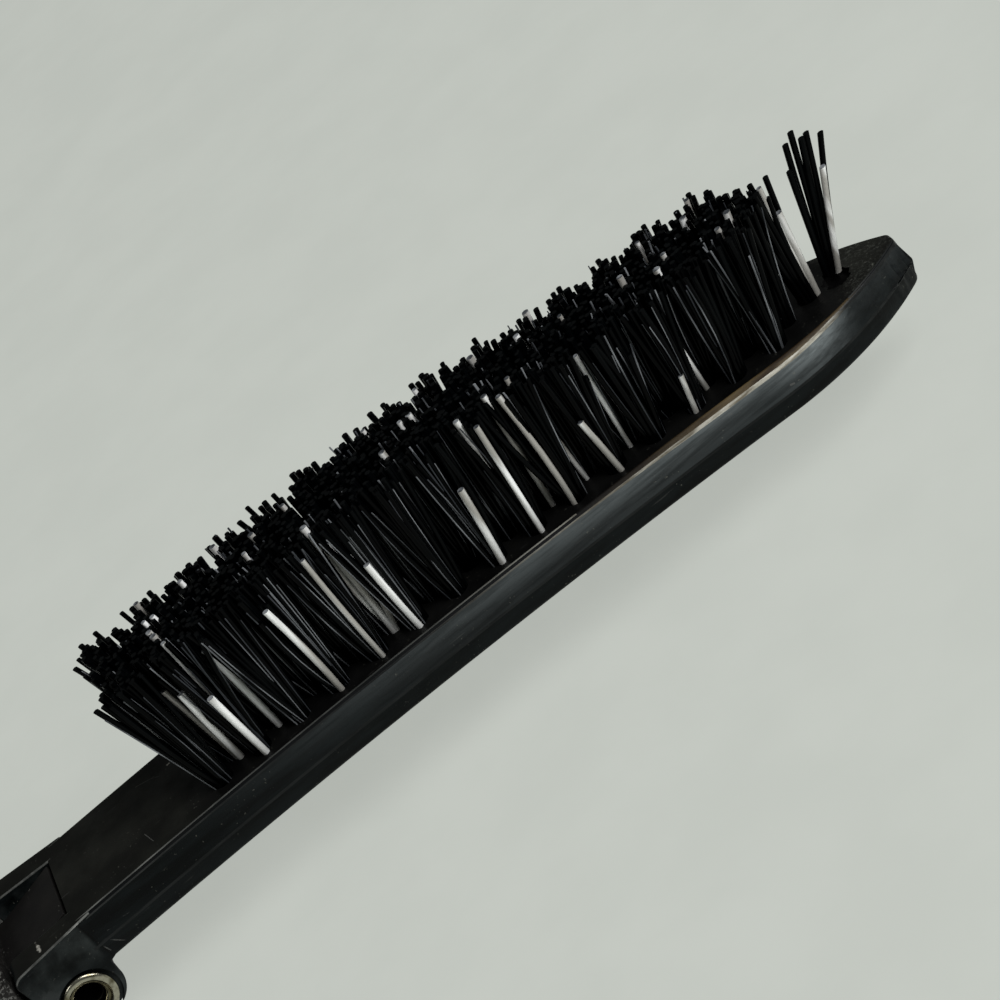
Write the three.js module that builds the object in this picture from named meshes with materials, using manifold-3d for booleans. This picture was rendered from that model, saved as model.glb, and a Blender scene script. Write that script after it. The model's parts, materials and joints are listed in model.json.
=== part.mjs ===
// A folding travel brush, opened out. Millimetres, +X to the tip of the head, +Z to the bristle tips.
// The origin lies under the middle of the opened brush, on the plane that the handle rests on.
// Every piece is modelled about the hinge axis, and the groups at the end set the hinge in its place.
import * as THREE from "three";
import { mergeVertices } from "three/addons/utils/BufferGeometryUtils.js";
import Module from "manifold-3d";

const wasm = await Module();
wasm.setup();

// Clearances
const SEAT_GAP = 0.3;
const TURNING_GAP = 0.2;
const NEST_GAP = 0.5;

// Head plate, with places along X measured from the hinge axis
const HEAD_REACH = 98.3;
const HEAD_WIDTH = 14.4;
const HEAD_THICKNESS = 5.3;
const BACK_RISE = 2.05;
const ARCH_RADIUS = 954;
const ARCH_CREST = 36.5;
const RIDGE_RISE = 2.1;
const SIDE_DRAFT = 0.25;
const TOP_BEVEL = 0.3;
const BACK_BEVEL = 0.3;
const NOSE_LENGTH = 17;
const NOSE_END_WIDTH = 2.1;
const NOSE_CORNER = 0.6;
const NOSE_TOP_BEVEL = 0.6;
const NOSE_THINNING = 0.4;
const NARROWEST_EDGE = 0.3;

// Fork of the head: two flared ears with lugs that hold the eyelet
const FORK_DEPTH = 3.3;
const FORK_SLOT = 9;
const EAR_CREASE = 3.7;
const EAR_END = 3.8;
const EAR_FOOT = 3;
const EAR_CORNER = 1;
const EAR_INSET = 0.1;
const EAR_FLARE_SLOPE = 0.164;
const LUG_RADIUS = 2.85;
const LUG_FRONT = 0.75;
const LUG_REAR = 0.2;
const LUG_RISE = 0.2;

// Hinge eyelet
const EYELET_BARREL = 3.2;
const EYELET_WALL = 0.3;
const EYELET_FLANGE = 5.25;
const FLANGE_THICKNESS = 0.5;
const FLANGE_SEAT = 6.85;

// Bristles
const REAR_BRISTLE_LENGTH = 13.8;
const FRONT_BRISTLE_LENGTH = 12.2;
const TIP_BRISTLE_LENGTH = 13.8;
const STRAND_RADIUS = 0.26;
const STRAND_SIDES = 3;
const RING_STRANDS = 8;
const TUFT_RADIUS = 0.75;
const SPREAD_RATIO_ALONG = 2.45;
const SPREAD_RATIO_ACROSS = 2.1;
const TUFT_PITCH = 4.44;
const FIRST_TUFT = 21.5;
const EDGE_ROW_SETBACK = 14;
const MIDDLE_ROW_SETBACK = 9.6;
const TIP_TUFT_SETBACK = 6.3;
const TIP_TUFT_OFFSET = 1.4;
const ROW_TO_EDGE = 2.8;
const REAR_LEAN_DEGREES = -3;
const FRONT_LEAN_DEGREES = 9;
const TIP_LEAN_DEGREES = 21;
const STRIP_WIDTH = 2.4;
const STRIP_DEPTH = 0.9;
const STRIP_END = 1.4;
const STRAND_ROOT = 0.4;

// Handle
const HANDLE_REACH = 105;
const SHOULDER = 4.2;
const SHOULDER_WIDTH = 17.8;
const HANDLE_WIDTH = 19.2;
const TAIL_RADIUS = 7;
const TAIL_LIFT = 2.4;
const BASE_DROP = 6.5;
const BASE_CORNER = 1.3;
const SEAM_RISE = 1.7;
const HANDLE_RISE = 6.9;
const CROWN_WIDTH = 4.2;
const CROWN_DROP = 3.4;
const HANDLE_WALL = 1.8;
const FRONT_WALL = 2.2;
const TAIL_WALL = 5;
const CAVITY_FLOOR = 1.2;

// Tongue of the handle, between the ears
const TONGUE_LOW = 5.1;
const TONGUE_RAMP_END = 3.2;
const TONGUE_NOSE = 3;
const TONGUE_DROP = 2.6;
const TONGUE_HEEL = 2;
const TONGUE_UNDER = 1.4;
const TONGUE_ROOT = 8.5;

// Lock: a bolt in the tongue, moved by a thumb button on the cover
const BOLT_BOTTOM = 2.9;
const BOLT_THICKNESS = 1.5;
const BOLT_WIDTH = 5;
const BOLT_TAIL = 25;
const BOLT_TRAVEL = 2.4;
const BOLT_CHAMFER = 0.3;
const BUTTON_PLACE = 22;
const BUTTON_LENGTH = 12;
const BUTTON_WIDTH = 7.6;
const BUTTON_HEIGHT = 1.5;
const BUTTON_RIDGES = 5;
const RIDGE_WIDTH = 0.8;
const RIDGE_HEIGHT = 0.5;
const STEM_LENGTH = 4;
const STEM_WIDTH = 3.6;
const DETENT_PLACE = 13.1;
const DETENT_NOTCH = 1.6;
const DETENT_DEPTH = 0.4;
const SPRING_LENGTH = 7.8;
const SPRING_WIDTH = 3.6;
const SPRING_STRIP = 0.3;
const SPRING_RIB = 0.7;

// Screws
const COVER_SCREW_PLACES = { front: 32, middle: 58, rear: 84 };
const SCREW_THREAD = 2;
const SCREW_HEAD = 3.8;
const SCREW_HEAD_HEIGHT = 1;
const SCREW_RECESS = 0.2;
const SCREW_SLOT = 0.5;
const SCREW_SLOT_SHARE = 0.66;
const BOSS_DIAMETER = 5.6;
const FRAME_BOSS_HEIGHT = 1;
const BUTTON_SCREW_THREAD = 1.6;
const BUTTON_SCREW_HEAD = 2.8;
const BUTTON_SCREW_HEAD_HEIGHT = 0.7;
const BUTTON_SCREW_GRIP = 2.4;

// Facets
const ROUND_SIDES = 32;
const ARC_STEPS = 6;
const ARCH_STEPS = 12;
const NOSE_STEPS = 9;
const CORNER_STEPS = 3;
const TAIL_STEPS = 5;
const BODY_STEPS = 8;
const SPRING_STEPS = 12;
const BLUNT_END_DEGREES = 82;
const CUT_MARGIN = 1;

// Solid helpers
function solidOf(geometry) {
  const bare = geometry.clone();
  bare.deleteAttribute("normal");
  bare.deleteAttribute("uv");
  const merged = mergeVertices(bare, 1e-4);
  const index = merged.index.array;
  const triangles = [];
  for (let i = 0; i < index.length; i += 3) {
    const [a, b, c] = [index[i], index[i + 1], index[i + 2]];
    if (a !== b && b !== c && c !== a) {
      triangles.push(a, b, c);
    }
  }
  return new wasm.Manifold(
    new wasm.Mesh({
      numProp: 3,
      vertProperties: new Float32Array(merged.attributes.position.array),
      triVerts: new Uint32Array(triangles),
    }),
  );
}

function geometryOf(solid) {
  const mesh = solid.getMesh();
  const geometry = new THREE.BufferGeometry();
  geometry.setAttribute("position", new THREE.BufferAttribute(mesh.vertProperties, 3));
  geometry.setIndex(new THREE.BufferAttribute(mesh.triVerts, 1));
  geometry.computeVertexNormals();
  return geometry;
}

function joined(first, ...others) {
  return others.reduce((sum, other) => sum.add(other), first);
}

function cut(body, ...tools) {
  return tools.reduce((rest, tool) => rest.subtract(tool), body);
}

function box(x0, x1, y0, y1, z0, z1) {
  const geometry = new THREE.BoxGeometry(x1 - x0, y1 - y0, z1 - z0);
  geometry.translate((x0 + x1) / 2, (y0 + y1) / 2, (z0 + z1) / 2);
  return solidOf(geometry);
}

function uprightCylinder(radius, x, y, z0, z1) {
  const geometry = new THREE.CylinderGeometry(radius, radius, z1 - z0, ROUND_SIDES);
  geometry.rotateX(Math.PI / 2);
  geometry.translate(x, y, (z0 + z1) / 2);
  return solidOf(geometry);
}

function crossCylinder(radius, y0, y1) {
  const geometry = new THREE.CylinderGeometry(radius, radius, y1 - y0, ROUND_SIDES);
  geometry.translate(0, (y0 + y1) / 2, 0);
  return solidOf(geometry);
}

// A shape drawn in X and Z, made thick along Y
function sidePlateGeometry(shape, y0, y1) {
  const geometry = new THREE.ExtrudeGeometry(shape, {
    depth: y1 - y0,
    bevelEnabled: false,
    curveSegments: ARC_STEPS,
  });
  geometry.rotateX(Math.PI / 2);
  geometry.translate(0, y1, 0);
  return geometry;
}

// A closed body through sections that stand across X, each a ring of [y, z] turning from +Y to +Z
function loft(stations, sectionAt) {
  const positions = [];
  const index = [];
  const rings = stations.map((x) => sectionAt(x));
  const count = rings[0].length;
  rings.forEach((ring, row) => {
    ring.forEach(([y, z]) => positions.push(stations[row], y, z));
  });
  for (let row = 0; row + 1 < rings.length; row += 1) {
    for (let i = 0; i < count; i += 1) {
      const next = (i + 1) % count;
      const a = row * count + i;
      const b = row * count + next;
      const c = a + count;
      const d = b + count;
      index.push(a, b, c, b, d, c);
    }
  }
  const lastRow = (rings.length - 1) * count;
  const capOf = (ring) => {
    const outline = ring.map(([y, z]) => new THREE.Vector2(y, z));
    return THREE.ShapeUtils.triangulateShape(outline, []);
  };
  capOf(rings[0]).forEach(([a, b, c]) => index.push(a, c, b));
  capOf(rings[rings.length - 1]).forEach(([a, b, c]) => index.push(lastRow + a, lastRow + b, lastRow + c));
  const geometry = new THREE.BufferGeometry();
  geometry.setAttribute("position", new THREE.Float32BufferAttribute(positions, 3));
  geometry.setIndex(index);
  return solidOf(geometry);
}

// Adds the mirror image, in Y, of the half ring that runs from the bottom to the top on the +Y side
function mirroredRing(half) {
  const other = half.map(([y, z]) => [-y, z]).reverse();
  return [...half, ...other];
}

function evenSteps(from, to, steps) {
  return Array.from({ length: steps + 1 }, (_, i) => from + ((to - from) * i) / steps);
}

function arc(centreY, centreZ, radiusY, radiusZ, fromDegrees, toDegrees, steps) {
  return evenSteps(fromDegrees, toDegrees, steps).map((degrees) => {
    const angle = THREE.MathUtils.degToRad(degrees);
    return [centreY + radiusY * Math.cos(angle), centreZ + radiusZ * Math.sin(angle)];
  });
}

// Head plate outline and arch
const NOSE_START = HEAD_REACH - NOSE_LENGTH;
const NOSE_NARROWING = (HEAD_WIDTH - NOSE_END_WIDTH) / 2;
const NOSE_RADIUS = (NOSE_LENGTH ** 2 + NOSE_NARROWING ** 2) / (2 * NOSE_NARROWING);

function archDrop(x) {
  return (x - ARCH_CREST) ** 2 / (2 * ARCH_RADIUS);
}

function backHeight(x) {
  return BACK_RISE - archDrop(x);
}

function noseShare(x) {
  return Math.max(0, (x - NOSE_START) / NOSE_LENGTH);
}

function topHeight(x) {
  return backHeight(x) + HEAD_THICKNESS - NOSE_THINNING * noseShare(x) ** 2;
}

function roundedIn(radius, distance) {
  const inside = Math.min(Math.max(distance, 0), radius);
  return radius - Math.sqrt(radius ** 2 - inside ** 2);
}

function headHalfWidth(x) {
  const corner = roundedIn(NOSE_CORNER, x - (HEAD_REACH - NOSE_CORNER));
  return HEAD_WIDTH / 2 - roundedIn(NOSE_RADIUS, x - NOSE_START) - corner;
}

function headSection(x) {
  const half = headHalfWidth(x);
  const back = backHeight(x);
  const top = topHeight(x);
  const share = noseShare(x) ** 3;
  const bevelDrop = TOP_BEVEL + (NOSE_TOP_BEVEL - TOP_BEVEL) * share;
  const narrowest = half * NARROWEST_EDGE;
  const side = Math.max(half - SIDE_DRAFT, narrowest * 2);
  return mirroredRing([
    [Math.max(side - BACK_BEVEL, narrowest), back],
    [side, back + BACK_BEVEL],
    [half, back + RIDGE_RISE],
    [side, top - bevelDrop],
    [Math.max(side - bevelDrop, narrowest), top],
  ]);
}

// Shares of a corner's radius, measured along it, that leave a small flat end
function cornerShares(steps) {
  return evenSteps(0, BLUNT_END_DEGREES, steps)
    .slice(1)
    .map((degrees) => Math.sin(THREE.MathUtils.degToRad(degrees)));
}

function headStations(from) {
  const cornerStart = HEAD_REACH - NOSE_CORNER;
  const straight = evenSteps(from, NOSE_START, ARCH_STEPS);
  const ogive = evenSteps(NOSE_START, cornerStart, NOSE_STEPS).slice(1);
  const corner = cornerShares(CORNER_STEPS).map((share) => cornerStart + NOSE_CORNER * share);
  return [...straight, ...ogive, ...corner];
}

// Bristle rows
function rowOffset(side, x) {
  return side * (headHalfWidth(x) - ROW_TO_EDGE);
}

// As many tufts as fit between the first one and the setback from the tip
function tuftPlaces(setback) {
  const count = 1 + Math.floor((HEAD_REACH - setback - FIRST_TUFT) / TUFT_PITCH);
  return Array.from({ length: count }, (_, i) => FIRST_TUFT + i * TUFT_PITCH);
}

// A tuft in a row leans further forward and is trimmed shorter the nearer it is to the tip
function rowTuft(side, x) {
  const last = HEAD_REACH - MIDDLE_ROW_SETBACK;
  const along = (x - FIRST_TUFT) / (last - FIRST_TUFT);
  const lean = THREE.MathUtils.lerp(REAR_LEAN_DEGREES, FRONT_LEAN_DEGREES, along);
  const length = THREE.MathUtils.lerp(REAR_BRISTLE_LENGTH, FRONT_BRISTLE_LENGTH, along);
  return { x, y: rowOffset(side, x), lean, length };
}

function forwardReach({ lean, length }) {
  return length * Math.tan(THREE.MathUtils.degToRad(lean));
}

function strandStarts() {
  const ring = evenSteps(0, 360, RING_STRANDS)
    .slice(1)
    .map((degrees) => THREE.MathUtils.degToRad(degrees))
    .map((angle) => [TUFT_RADIUS * Math.cos(angle), TUFT_RADIUS * Math.sin(angle)]);
  return [[0, 0], ...ring];
}

// One strand as a prism from its root in the backing to its cut end
function addStrand(positions, index, root, tip) {
  const first = positions.length / 3;
  for (const end of [root, tip]) {
    for (let i = 0; i < STRAND_SIDES; i += 1) {
      const angle = (i / STRAND_SIDES) * 2 * Math.PI;
      const along = STRAND_RADIUS * Math.cos(angle);
      const across = STRAND_RADIUS * Math.sin(angle);
      positions.push(end[0] + along, end[1] + across, end[2]);
    }
  }
  for (let i = 0; i < STRAND_SIDES; i += 1) {
    const next = (i + 1) % STRAND_SIDES;
    const top = STRAND_SIDES;
    index.push(first + i, first + next, first + top + i);
    index.push(first + next, first + top + next, first + top + i);
  }
  for (let i = 1; i + 1 < STRAND_SIDES; i += 1) {
    index.push(first, first + i + 1, first + i);
    index.push(first + STRAND_SIDES, first + STRAND_SIDES + i, first + STRAND_SIDES + i + 1);
  }
}

// Each tuft widens evenly from its hole, so its strands never cross
function strandsOf(tufts) {
  const positions = [];
  const index = [];
  for (const tuft of tufts) {
    const { x, y, length } = tuft;
    const surface = topHeight(x);
    const forward = forwardReach(tuft);
    for (const [along, across] of strandStarts()) {
      const root = [x + along, y + across, surface - STRAND_ROOT];
      const tip = [
        x + along * SPREAD_RATIO_ALONG + forward,
        y + across * SPREAD_RATIO_ACROSS,
        surface + length,
      ];
      addStrand(positions, index, root, tip);
    }
  }
  const geometry = new THREE.BufferGeometry();
  geometry.setAttribute("position", new THREE.Float32BufferAttribute(positions, 3));
  geometry.setIndex(index);
  return solidOf(geometry);
}

// The backing strip under a row of tufts, or with a gap the slot that it lies in
function stripBody(tufts, middleAt, gap) {
  const from = tufts[0].x - STRIP_END - gap;
  const to = tufts[tufts.length - 1].x + STRIP_END + gap;
  const half = STRIP_WIDTH / 2 + gap;
  const lift = gap > 0 ? CUT_MARGIN : 0;
  return loft(evenSteps(from, to, tufts.length), (x) => {
    const middle = middleAt(x);
    const bottom = topHeight(x) - STRIP_DEPTH - gap;
    const top = topHeight(x) + lift;
    return [
      [middle + half, bottom],
      [middle + half, top],
      [middle - half, top],
      [middle - half, bottom],
    ];
  });
}

function bristleRow(side, setback) {
  const tufts = tuftPlaces(setback).map((x) => rowTuft(side, x));
  return { tufts, middleAt: (x) => rowOffset(side, x) };
}

const TIP = {
  x: HEAD_REACH - TIP_TUFT_SETBACK,
  y: -TIP_TUFT_OFFSET,
  lean: TIP_LEAN_DEGREES,
  length: TIP_BRISTLE_LENGTH,
};

const BRISTLE_GROUPS = {
  bristles_near_row: bristleRow(-1, EDGE_ROW_SETBACK),
  bristles_middle_row: bristleRow(0, MIDDLE_ROW_SETBACK),
  bristles_far_row: bristleRow(1, EDGE_ROW_SETBACK),
  bristles_tip_tuft: { tufts: [TIP], middleAt: () => TIP.y },
};

function bristleSolid({ tufts, middleAt }) {
  return stripBody(tufts, middleAt, 0).add(strandsOf(tufts));
}

// Fork of the head
function earShape() {
  const shape = new THREE.Shape();
  const lugBottom = LUG_RISE - LUG_RADIUS;
  const top = topHeight(EAR_CREASE);
  shape.moveTo(EAR_CREASE, backHeight(EAR_CREASE));
  shape.lineTo(EAR_CREASE, top);
  shape.lineTo(-EAR_END + EAR_CORNER, top);
  shape.quadraticCurveTo(-EAR_END, top, -EAR_END, top - EAR_CORNER);
  shape.lineTo(-EAR_FOOT, top - EAR_CORNER - LUG_RADIUS);
  shape.lineTo(-LUG_REAR - LUG_RADIUS, LUG_RISE);
  shape.absarc(-LUG_REAR, LUG_RISE, LUG_RADIUS, Math.PI, 1.5 * Math.PI, false);
  shape.lineTo(LUG_FRONT, lugBottom);
  shape.absarc(LUG_FRONT, LUG_RISE, LUG_RADIUS, 1.5 * Math.PI, 2 * Math.PI, false);
  return shape;
}

// An ear leans outward from its crease, so its outer face moves with the distance behind the crease
function ear(side) {
  const inner = FORK_SLOT / 2;
  const outer = HEAD_WIDTH / 2 - EAR_INSET;
  const geometry = sidePlateGeometry(earShape(), inner, outer);
  const position = geometry.attributes.position;
  const middle = (inner + outer) / 2;
  for (let i = 0; i < position.count; i += 1) {
    if (position.getY(i) > middle) {
      position.setY(i, outer + EAR_FLARE_SLOPE * (EAR_CREASE - position.getX(i)));
    }
  }
  const solid = solidOf(geometry);
  return side > 0 ? solid : solid.mirror([0, 1, 0]);
}

function boltPocket() {
  const half = BOLT_WIDTH / 2 + SEAT_GAP;
  const reach = FORK_DEPTH - 2 * SEAT_GAP + BOLT_TRAVEL;
  return box(
    FORK_DEPTH - CUT_MARGIN,
    reach + SEAT_GAP,
    -half,
    half,
    BOLT_BOTTOM - SEAT_GAP,
    BOLT_BOTTOM + BOLT_THICKNESS + SEAT_GAP,
  );
}

function brushHead() {
  const plate = loft(headStations(FORK_DEPTH), headSection);
  const barrelHole = EYELET_BARREL / 2 + TURNING_GAP;
  const flangeHole = EYELET_FLANGE / 2 + SEAT_GAP;
  const tools = [crossCylinder(barrelHole, -HANDLE_WIDTH, HANDLE_WIDTH), boltPocket()];
  for (const side of [-1, 1]) {
    const [y0, y1] = side > 0 ? [FLANGE_SEAT, HANDLE_WIDTH] : [-HANDLE_WIDTH, -FLANGE_SEAT];
    tools.push(crossCylinder(flangeHole, y0, y1));
  }
  for (const { tufts, middleAt } of Object.values(BRISTLE_GROUPS)) {
    tools.push(stripBody(tufts, middleAt, SEAT_GAP));
  }
  return cut(joined(plate, ear(-1), ear(1)), ...tools);
}

// A tube with a rolled flange at each end, as a ring profile turned about the hinge axis
function hingeEyelet() {
  const bore = EYELET_BARREL / 2 - EYELET_WALL;
  const barrel = EYELET_BARREL / 2;
  const flange = EYELET_FLANGE / 2;
  const seat = FLANGE_SEAT + SEAT_GAP;
  const end = seat + FLANGE_THICKNESS;
  const lip = FLANGE_THICKNESS / 2;
  const half = [
    [barrel, seat],
    [flange - lip / 2, seat],
    [flange, seat + lip / 2],
    [flange, seat + lip],
    [flange - lip, end],
    [bore + 2 * lip, end],
    [bore + lip / 2, end - lip / 2],
    [bore, seat - lip],
  ];
  const other = half.map(([r, y]) => [r, -y]).reverse();
  const profile = [...half, ...other, half[0]].map(([r, y]) => new THREE.Vector2(r, y));
  return solidOf(new THREE.LatheGeometry(profile, ROUND_SIDES));
}

// Handle outline, with x counted from the hinge axis towards the tip, so negative along the handle
function handleTailDistance(x) {
  return -x - (HANDLE_REACH - TAIL_RADIUS);
}

function handleHalfWidth(x) {
  const along = THREE.MathUtils.clamp((-x - SHOULDER) / (HANDLE_REACH / 2 - SHOULDER), 0, 1);
  const swell = THREE.MathUtils.smoothstep(along, 0, 1);
  const width = THREE.MathUtils.lerp(SHOULDER_WIDTH, HANDLE_WIDTH, swell);
  return width / 2 - roundedIn(TAIL_RADIUS, handleTailDistance(x));
}

function handleTop(x) {
  const along = THREE.MathUtils.clamp(handleTailDistance(x) / TAIL_RADIUS, 0, 1);
  return HANDLE_RISE - TAIL_LIFT * (1 - Math.sqrt(1 - along ** 2));
}

function handleStations(from, to) {
  const tailStart = -(HANDLE_REACH - TAIL_RADIUS);
  const tail = cornerShares(TAIL_STEPS)
    .map((share) => tailStart - TAIL_RADIUS * share)
    .filter((x) => x > to);
  const body = evenSteps(from, Math.max(tailStart, to), BODY_STEPS);
  const end = to < tailStart ? [to] : [];
  return [...body, ...tail, ...end].reverse();
}

function frameSection(x) {
  const half = handleHalfWidth(x);
  const corner = Math.min(BASE_CORNER, half / 2);
  return mirroredRing([
    ...arc(half - corner, -BASE_DROP + corner, corner, corner, -90, 0, CORNER_STEPS),
    [half, SEAM_RISE],
  ]);
}

function coverSection(x) {
  const half = handleHalfWidth(x);
  const top = handleTop(x);
  const crown = Math.min(CROWN_WIDTH, half - STEM_WIDTH / 2);
  const drop = Math.min(CROWN_DROP, top - SEAM_RISE - 2 * SEAT_GAP);
  const shoulder = arc(half - crown, top - drop, crown, drop, 0, 90, TAIL_STEPS);
  return mirroredRing([[half, SEAM_RISE + SEAT_GAP], ...shoulder]);
}

function handleLoft(sectionAt) {
  return loft(handleStations(-SHOULDER, -HANDLE_REACH), sectionAt);
}

// The hollow inside the handle, from the frame's floor to the cover's ceiling
function cavity() {
  const stations = handleStations(-SHOULDER - FRONT_WALL, -HANDLE_REACH + TAIL_WALL);
  return loft(stations, (x) => {
    const half = handleHalfWidth(x) - HANDLE_WALL;
    const ceiling = handleTop(x) - HANDLE_WALL;
    return mirroredRing([
      [half, CAVITY_FLOOR],
      [half, ceiling - CROWN_DROP / 2],
      [half - CROWN_WIDTH / 2, ceiling],
    ]);
  });
}

// The channel under the handle takes the folded head, and follows its outline and its arch
function nestChannel() {
  const stations = headStations(FORK_DEPTH - CUT_MARGIN)
    .map((x) => -x)
    .reverse();
  stations[0] = -HEAD_REACH - NEST_GAP;
  return loft(stations, (x) => {
    const along = Math.min(-x, HEAD_REACH);
    const half = headHalfWidth(along) + NEST_GAP;
    const ceiling = -backHeight(along) + NEST_GAP;
    return [
      [half, -BASE_DROP - CUT_MARGIN],
      [half, ceiling],
      [-half, ceiling],
      [-half, -BASE_DROP - CUT_MARGIN],
    ];
  });
}

function tongueShape() {
  const end = FORK_DEPTH - SEAT_GAP;
  const shape = new THREE.Shape();
  shape.moveTo(end, 0);
  shape.lineTo(end, topHeight(EAR_CREASE));
  shape.lineTo(-TONGUE_RAMP_END, TONGUE_LOW);
  shape.lineTo(-TONGUE_ROOT, TONGUE_LOW);
  shape.lineTo(-TONGUE_ROOT, -TONGUE_UNDER);
  shape.lineTo(-TONGUE_RAMP_END, -TONGUE_UNDER);
  shape.lineTo(-TONGUE_HEEL, -TONGUE_DROP);
  const corner = Math.acos(TONGUE_DROP / TONGUE_NOSE);
  shape.lineTo(TONGUE_NOSE * Math.sin(corner), -TONGUE_DROP);
  shape.absarc(0, 0, TONGUE_NOSE, corner - Math.PI / 2, 0, false);
  return shape;
}

function boltTunnel() {
  const half = BOLT_WIDTH / 2 + SEAT_GAP;
  return box(
    -BOLT_TAIL,
    FORK_DEPTH + CUT_MARGIN,
    -half,
    half,
    BOLT_BOTTOM - SEAT_GAP,
    BOLT_BOTTOM + BOLT_THICKNESS + SEAT_GAP,
  );
}

// Ceiling of the channel above a cover screw, where the screw head is sunk
function screwSeat(place) {
  return -backHeight(place) + NEST_GAP + SCREW_RECESS + SCREW_HEAD_HEIGHT;
}

function handleFrame() {
  const tongueHalf = FORK_SLOT / 2 - SEAT_GAP;
  const tongue = solidOf(sidePlateGeometry(tongueShape(), -tongueHalf, tongueHalf));
  const bosses = [];
  const barrelHole = EYELET_BARREL / 2 + TURNING_GAP;
  const tools = [crossCylinder(barrelHole, -tongueHalf - CUT_MARGIN, tongueHalf + CUT_MARGIN)];
  for (const place of Object.values(COVER_SCREW_PLACES)) {
    const bossTop = CAVITY_FLOOR + FRAME_BOSS_HEIGHT;
    bosses.push(uprightCylinder(BOSS_DIAMETER / 2, -place, 0, 0, bossTop));
    tools.push(uprightCylinder(SCREW_THREAD / 2 + SEAT_GAP, -place, 0, -BASE_DROP, bossTop + CUT_MARGIN));
    const seat = screwSeat(place) + SEAT_GAP;
    tools.push(uprightCylinder(SCREW_HEAD / 2 + SEAT_GAP, -place, 0, -BASE_DROP, seat));
  }
  const springEnd = -TONGUE_ROOT - SEAT_GAP - SPRING_LENGTH - SEAT_GAP;
  const rib = box(
    springEnd - SPRING_RIB,
    springEnd,
    -SPRING_WIDTH / 2,
    SPRING_WIDTH / 2,
    CAVITY_FLOOR - SPRING_RIB,
    CAVITY_FLOOR + SPRING_RIB,
  );
  const shell = cut(handleLoft(frameSection), cavity());
  const body = cut(joined(shell, tongue, rib, ...bosses), nestChannel());
  return cut(body, boltTunnel(), ...tools);
}

function buttonSlot() {
  const half = STEM_WIDTH / 2 + SEAT_GAP;
  const front = -BUTTON_PLACE + STEM_LENGTH / 2 + BOLT_TRAVEL + SEAT_GAP;
  const rear = -BUTTON_PLACE - STEM_LENGTH / 2 - SEAT_GAP;
  return box(rear, front, -half, half, BOLT_BOTTOM, HANDLE_RISE + CUT_MARGIN);
}

function handleCover() {
  const notchHalf = FORK_SLOT / 2;
  const notch = box(
    -SHOULDER - FRONT_WALL - CUT_MARGIN,
    -SHOULDER + CUT_MARGIN,
    -notchHalf,
    notchHalf,
    SEAM_RISE,
    TONGUE_LOW + SEAT_GAP,
  );
  const shell = cut(handleLoft(coverSection), cavity(), notch, buttonSlot());
  const bosses = [];
  const holes = [];
  for (const place of Object.values(COVER_SCREW_PLACES)) {
    const foot = CAVITY_FLOOR + FRAME_BOSS_HEIGHT + SEAT_GAP;
    const roof = HANDLE_RISE - HANDLE_WALL / 2;
    const holeRadius = SCREW_THREAD / 2 + TURNING_GAP;
    bosses.push(uprightCylinder(BOSS_DIAMETER / 2, -place, 0, foot, roof));
    holes.push(uprightCylinder(holeRadius, -place, 0, foot - CUT_MARGIN, roof - HANDLE_WALL / 2));
  }
  return cut(joined(shell, ...bosses), ...holes);
}

// A screw with its head down and its thread up, with a cross slot in the head
function screw(place, seat, threadDiameter, headDiameter, headHeight, threadTop) {
  const slotHalf = SCREW_SLOT / 2;
  const reach = (headDiameter / 2) * SCREW_SLOT_SHARE;
  const headBottom = seat - headHeight;
  const slotTop = headBottom + headHeight / 2;
  return cut(
    joined(
      uprightCylinder(headDiameter / 2, -place, 0, headBottom, seat),
      uprightCylinder(threadDiameter / 2, -place, 0, slotTop, threadTop),
    ),
    box(-place - reach, -place + reach, -slotHalf, slotHalf, headBottom - CUT_MARGIN, slotTop),
    box(-place - slotHalf, -place + slotHalf, -reach, reach, headBottom - CUT_MARGIN, slotTop),
  );
}

function coverScrew(place) {
  const top = HANDLE_RISE - HANDLE_WALL - SEAT_GAP;
  return screw(place, screwSeat(place), SCREW_THREAD, SCREW_HEAD, SCREW_HEAD_HEIGHT, top);
}

function buttonScrew() {
  const seat = BOLT_BOTTOM - SEAT_GAP;
  const top = BOLT_BOTTOM + BOLT_THICKNESS + BUTTON_SCREW_GRIP;
  return screw(BUTTON_PLACE, seat, BUTTON_SCREW_THREAD, BUTTON_SCREW_HEAD, BUTTON_SCREW_HEAD_HEIGHT, top);
}

function lockBolt() {
  const half = BOLT_WIDTH / 2;
  const top = BOLT_BOTTOM + BOLT_THICKNESS;
  const nose = FORK_DEPTH - 2 * SEAT_GAP;
  const shape = new THREE.Shape();
  shape.moveTo(-BOLT_TAIL, BOLT_BOTTOM);
  shape.lineTo(nose - BOLT_CHAMFER, BOLT_BOTTOM);
  shape.lineTo(nose, BOLT_BOTTOM + BOLT_CHAMFER);
  shape.lineTo(nose, top - BOLT_CHAMFER);
  shape.lineTo(nose - BOLT_CHAMFER, top);
  shape.lineTo(-BOLT_TAIL, top);
  const strip = solidOf(sidePlateGeometry(shape, -half, half));
  const hole = uprightCylinder(BUTTON_SCREW_THREAD / 2 + TURNING_GAP, -BUTTON_PLACE, 0, 0, top + CUT_MARGIN);
  const notches = [DETENT_PLACE, DETENT_PLACE + BOLT_TRAVEL].map((place) =>
    box(
      -place - DETENT_NOTCH / 2,
      -place + DETENT_NOTCH / 2,
      -half - CUT_MARGIN,
      half + CUT_MARGIN,
      BOLT_BOTTOM - CUT_MARGIN,
      BOLT_BOTTOM + DETENT_DEPTH,
    ),
  );
  return cut(strip, hole, ...notches);
}

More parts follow.
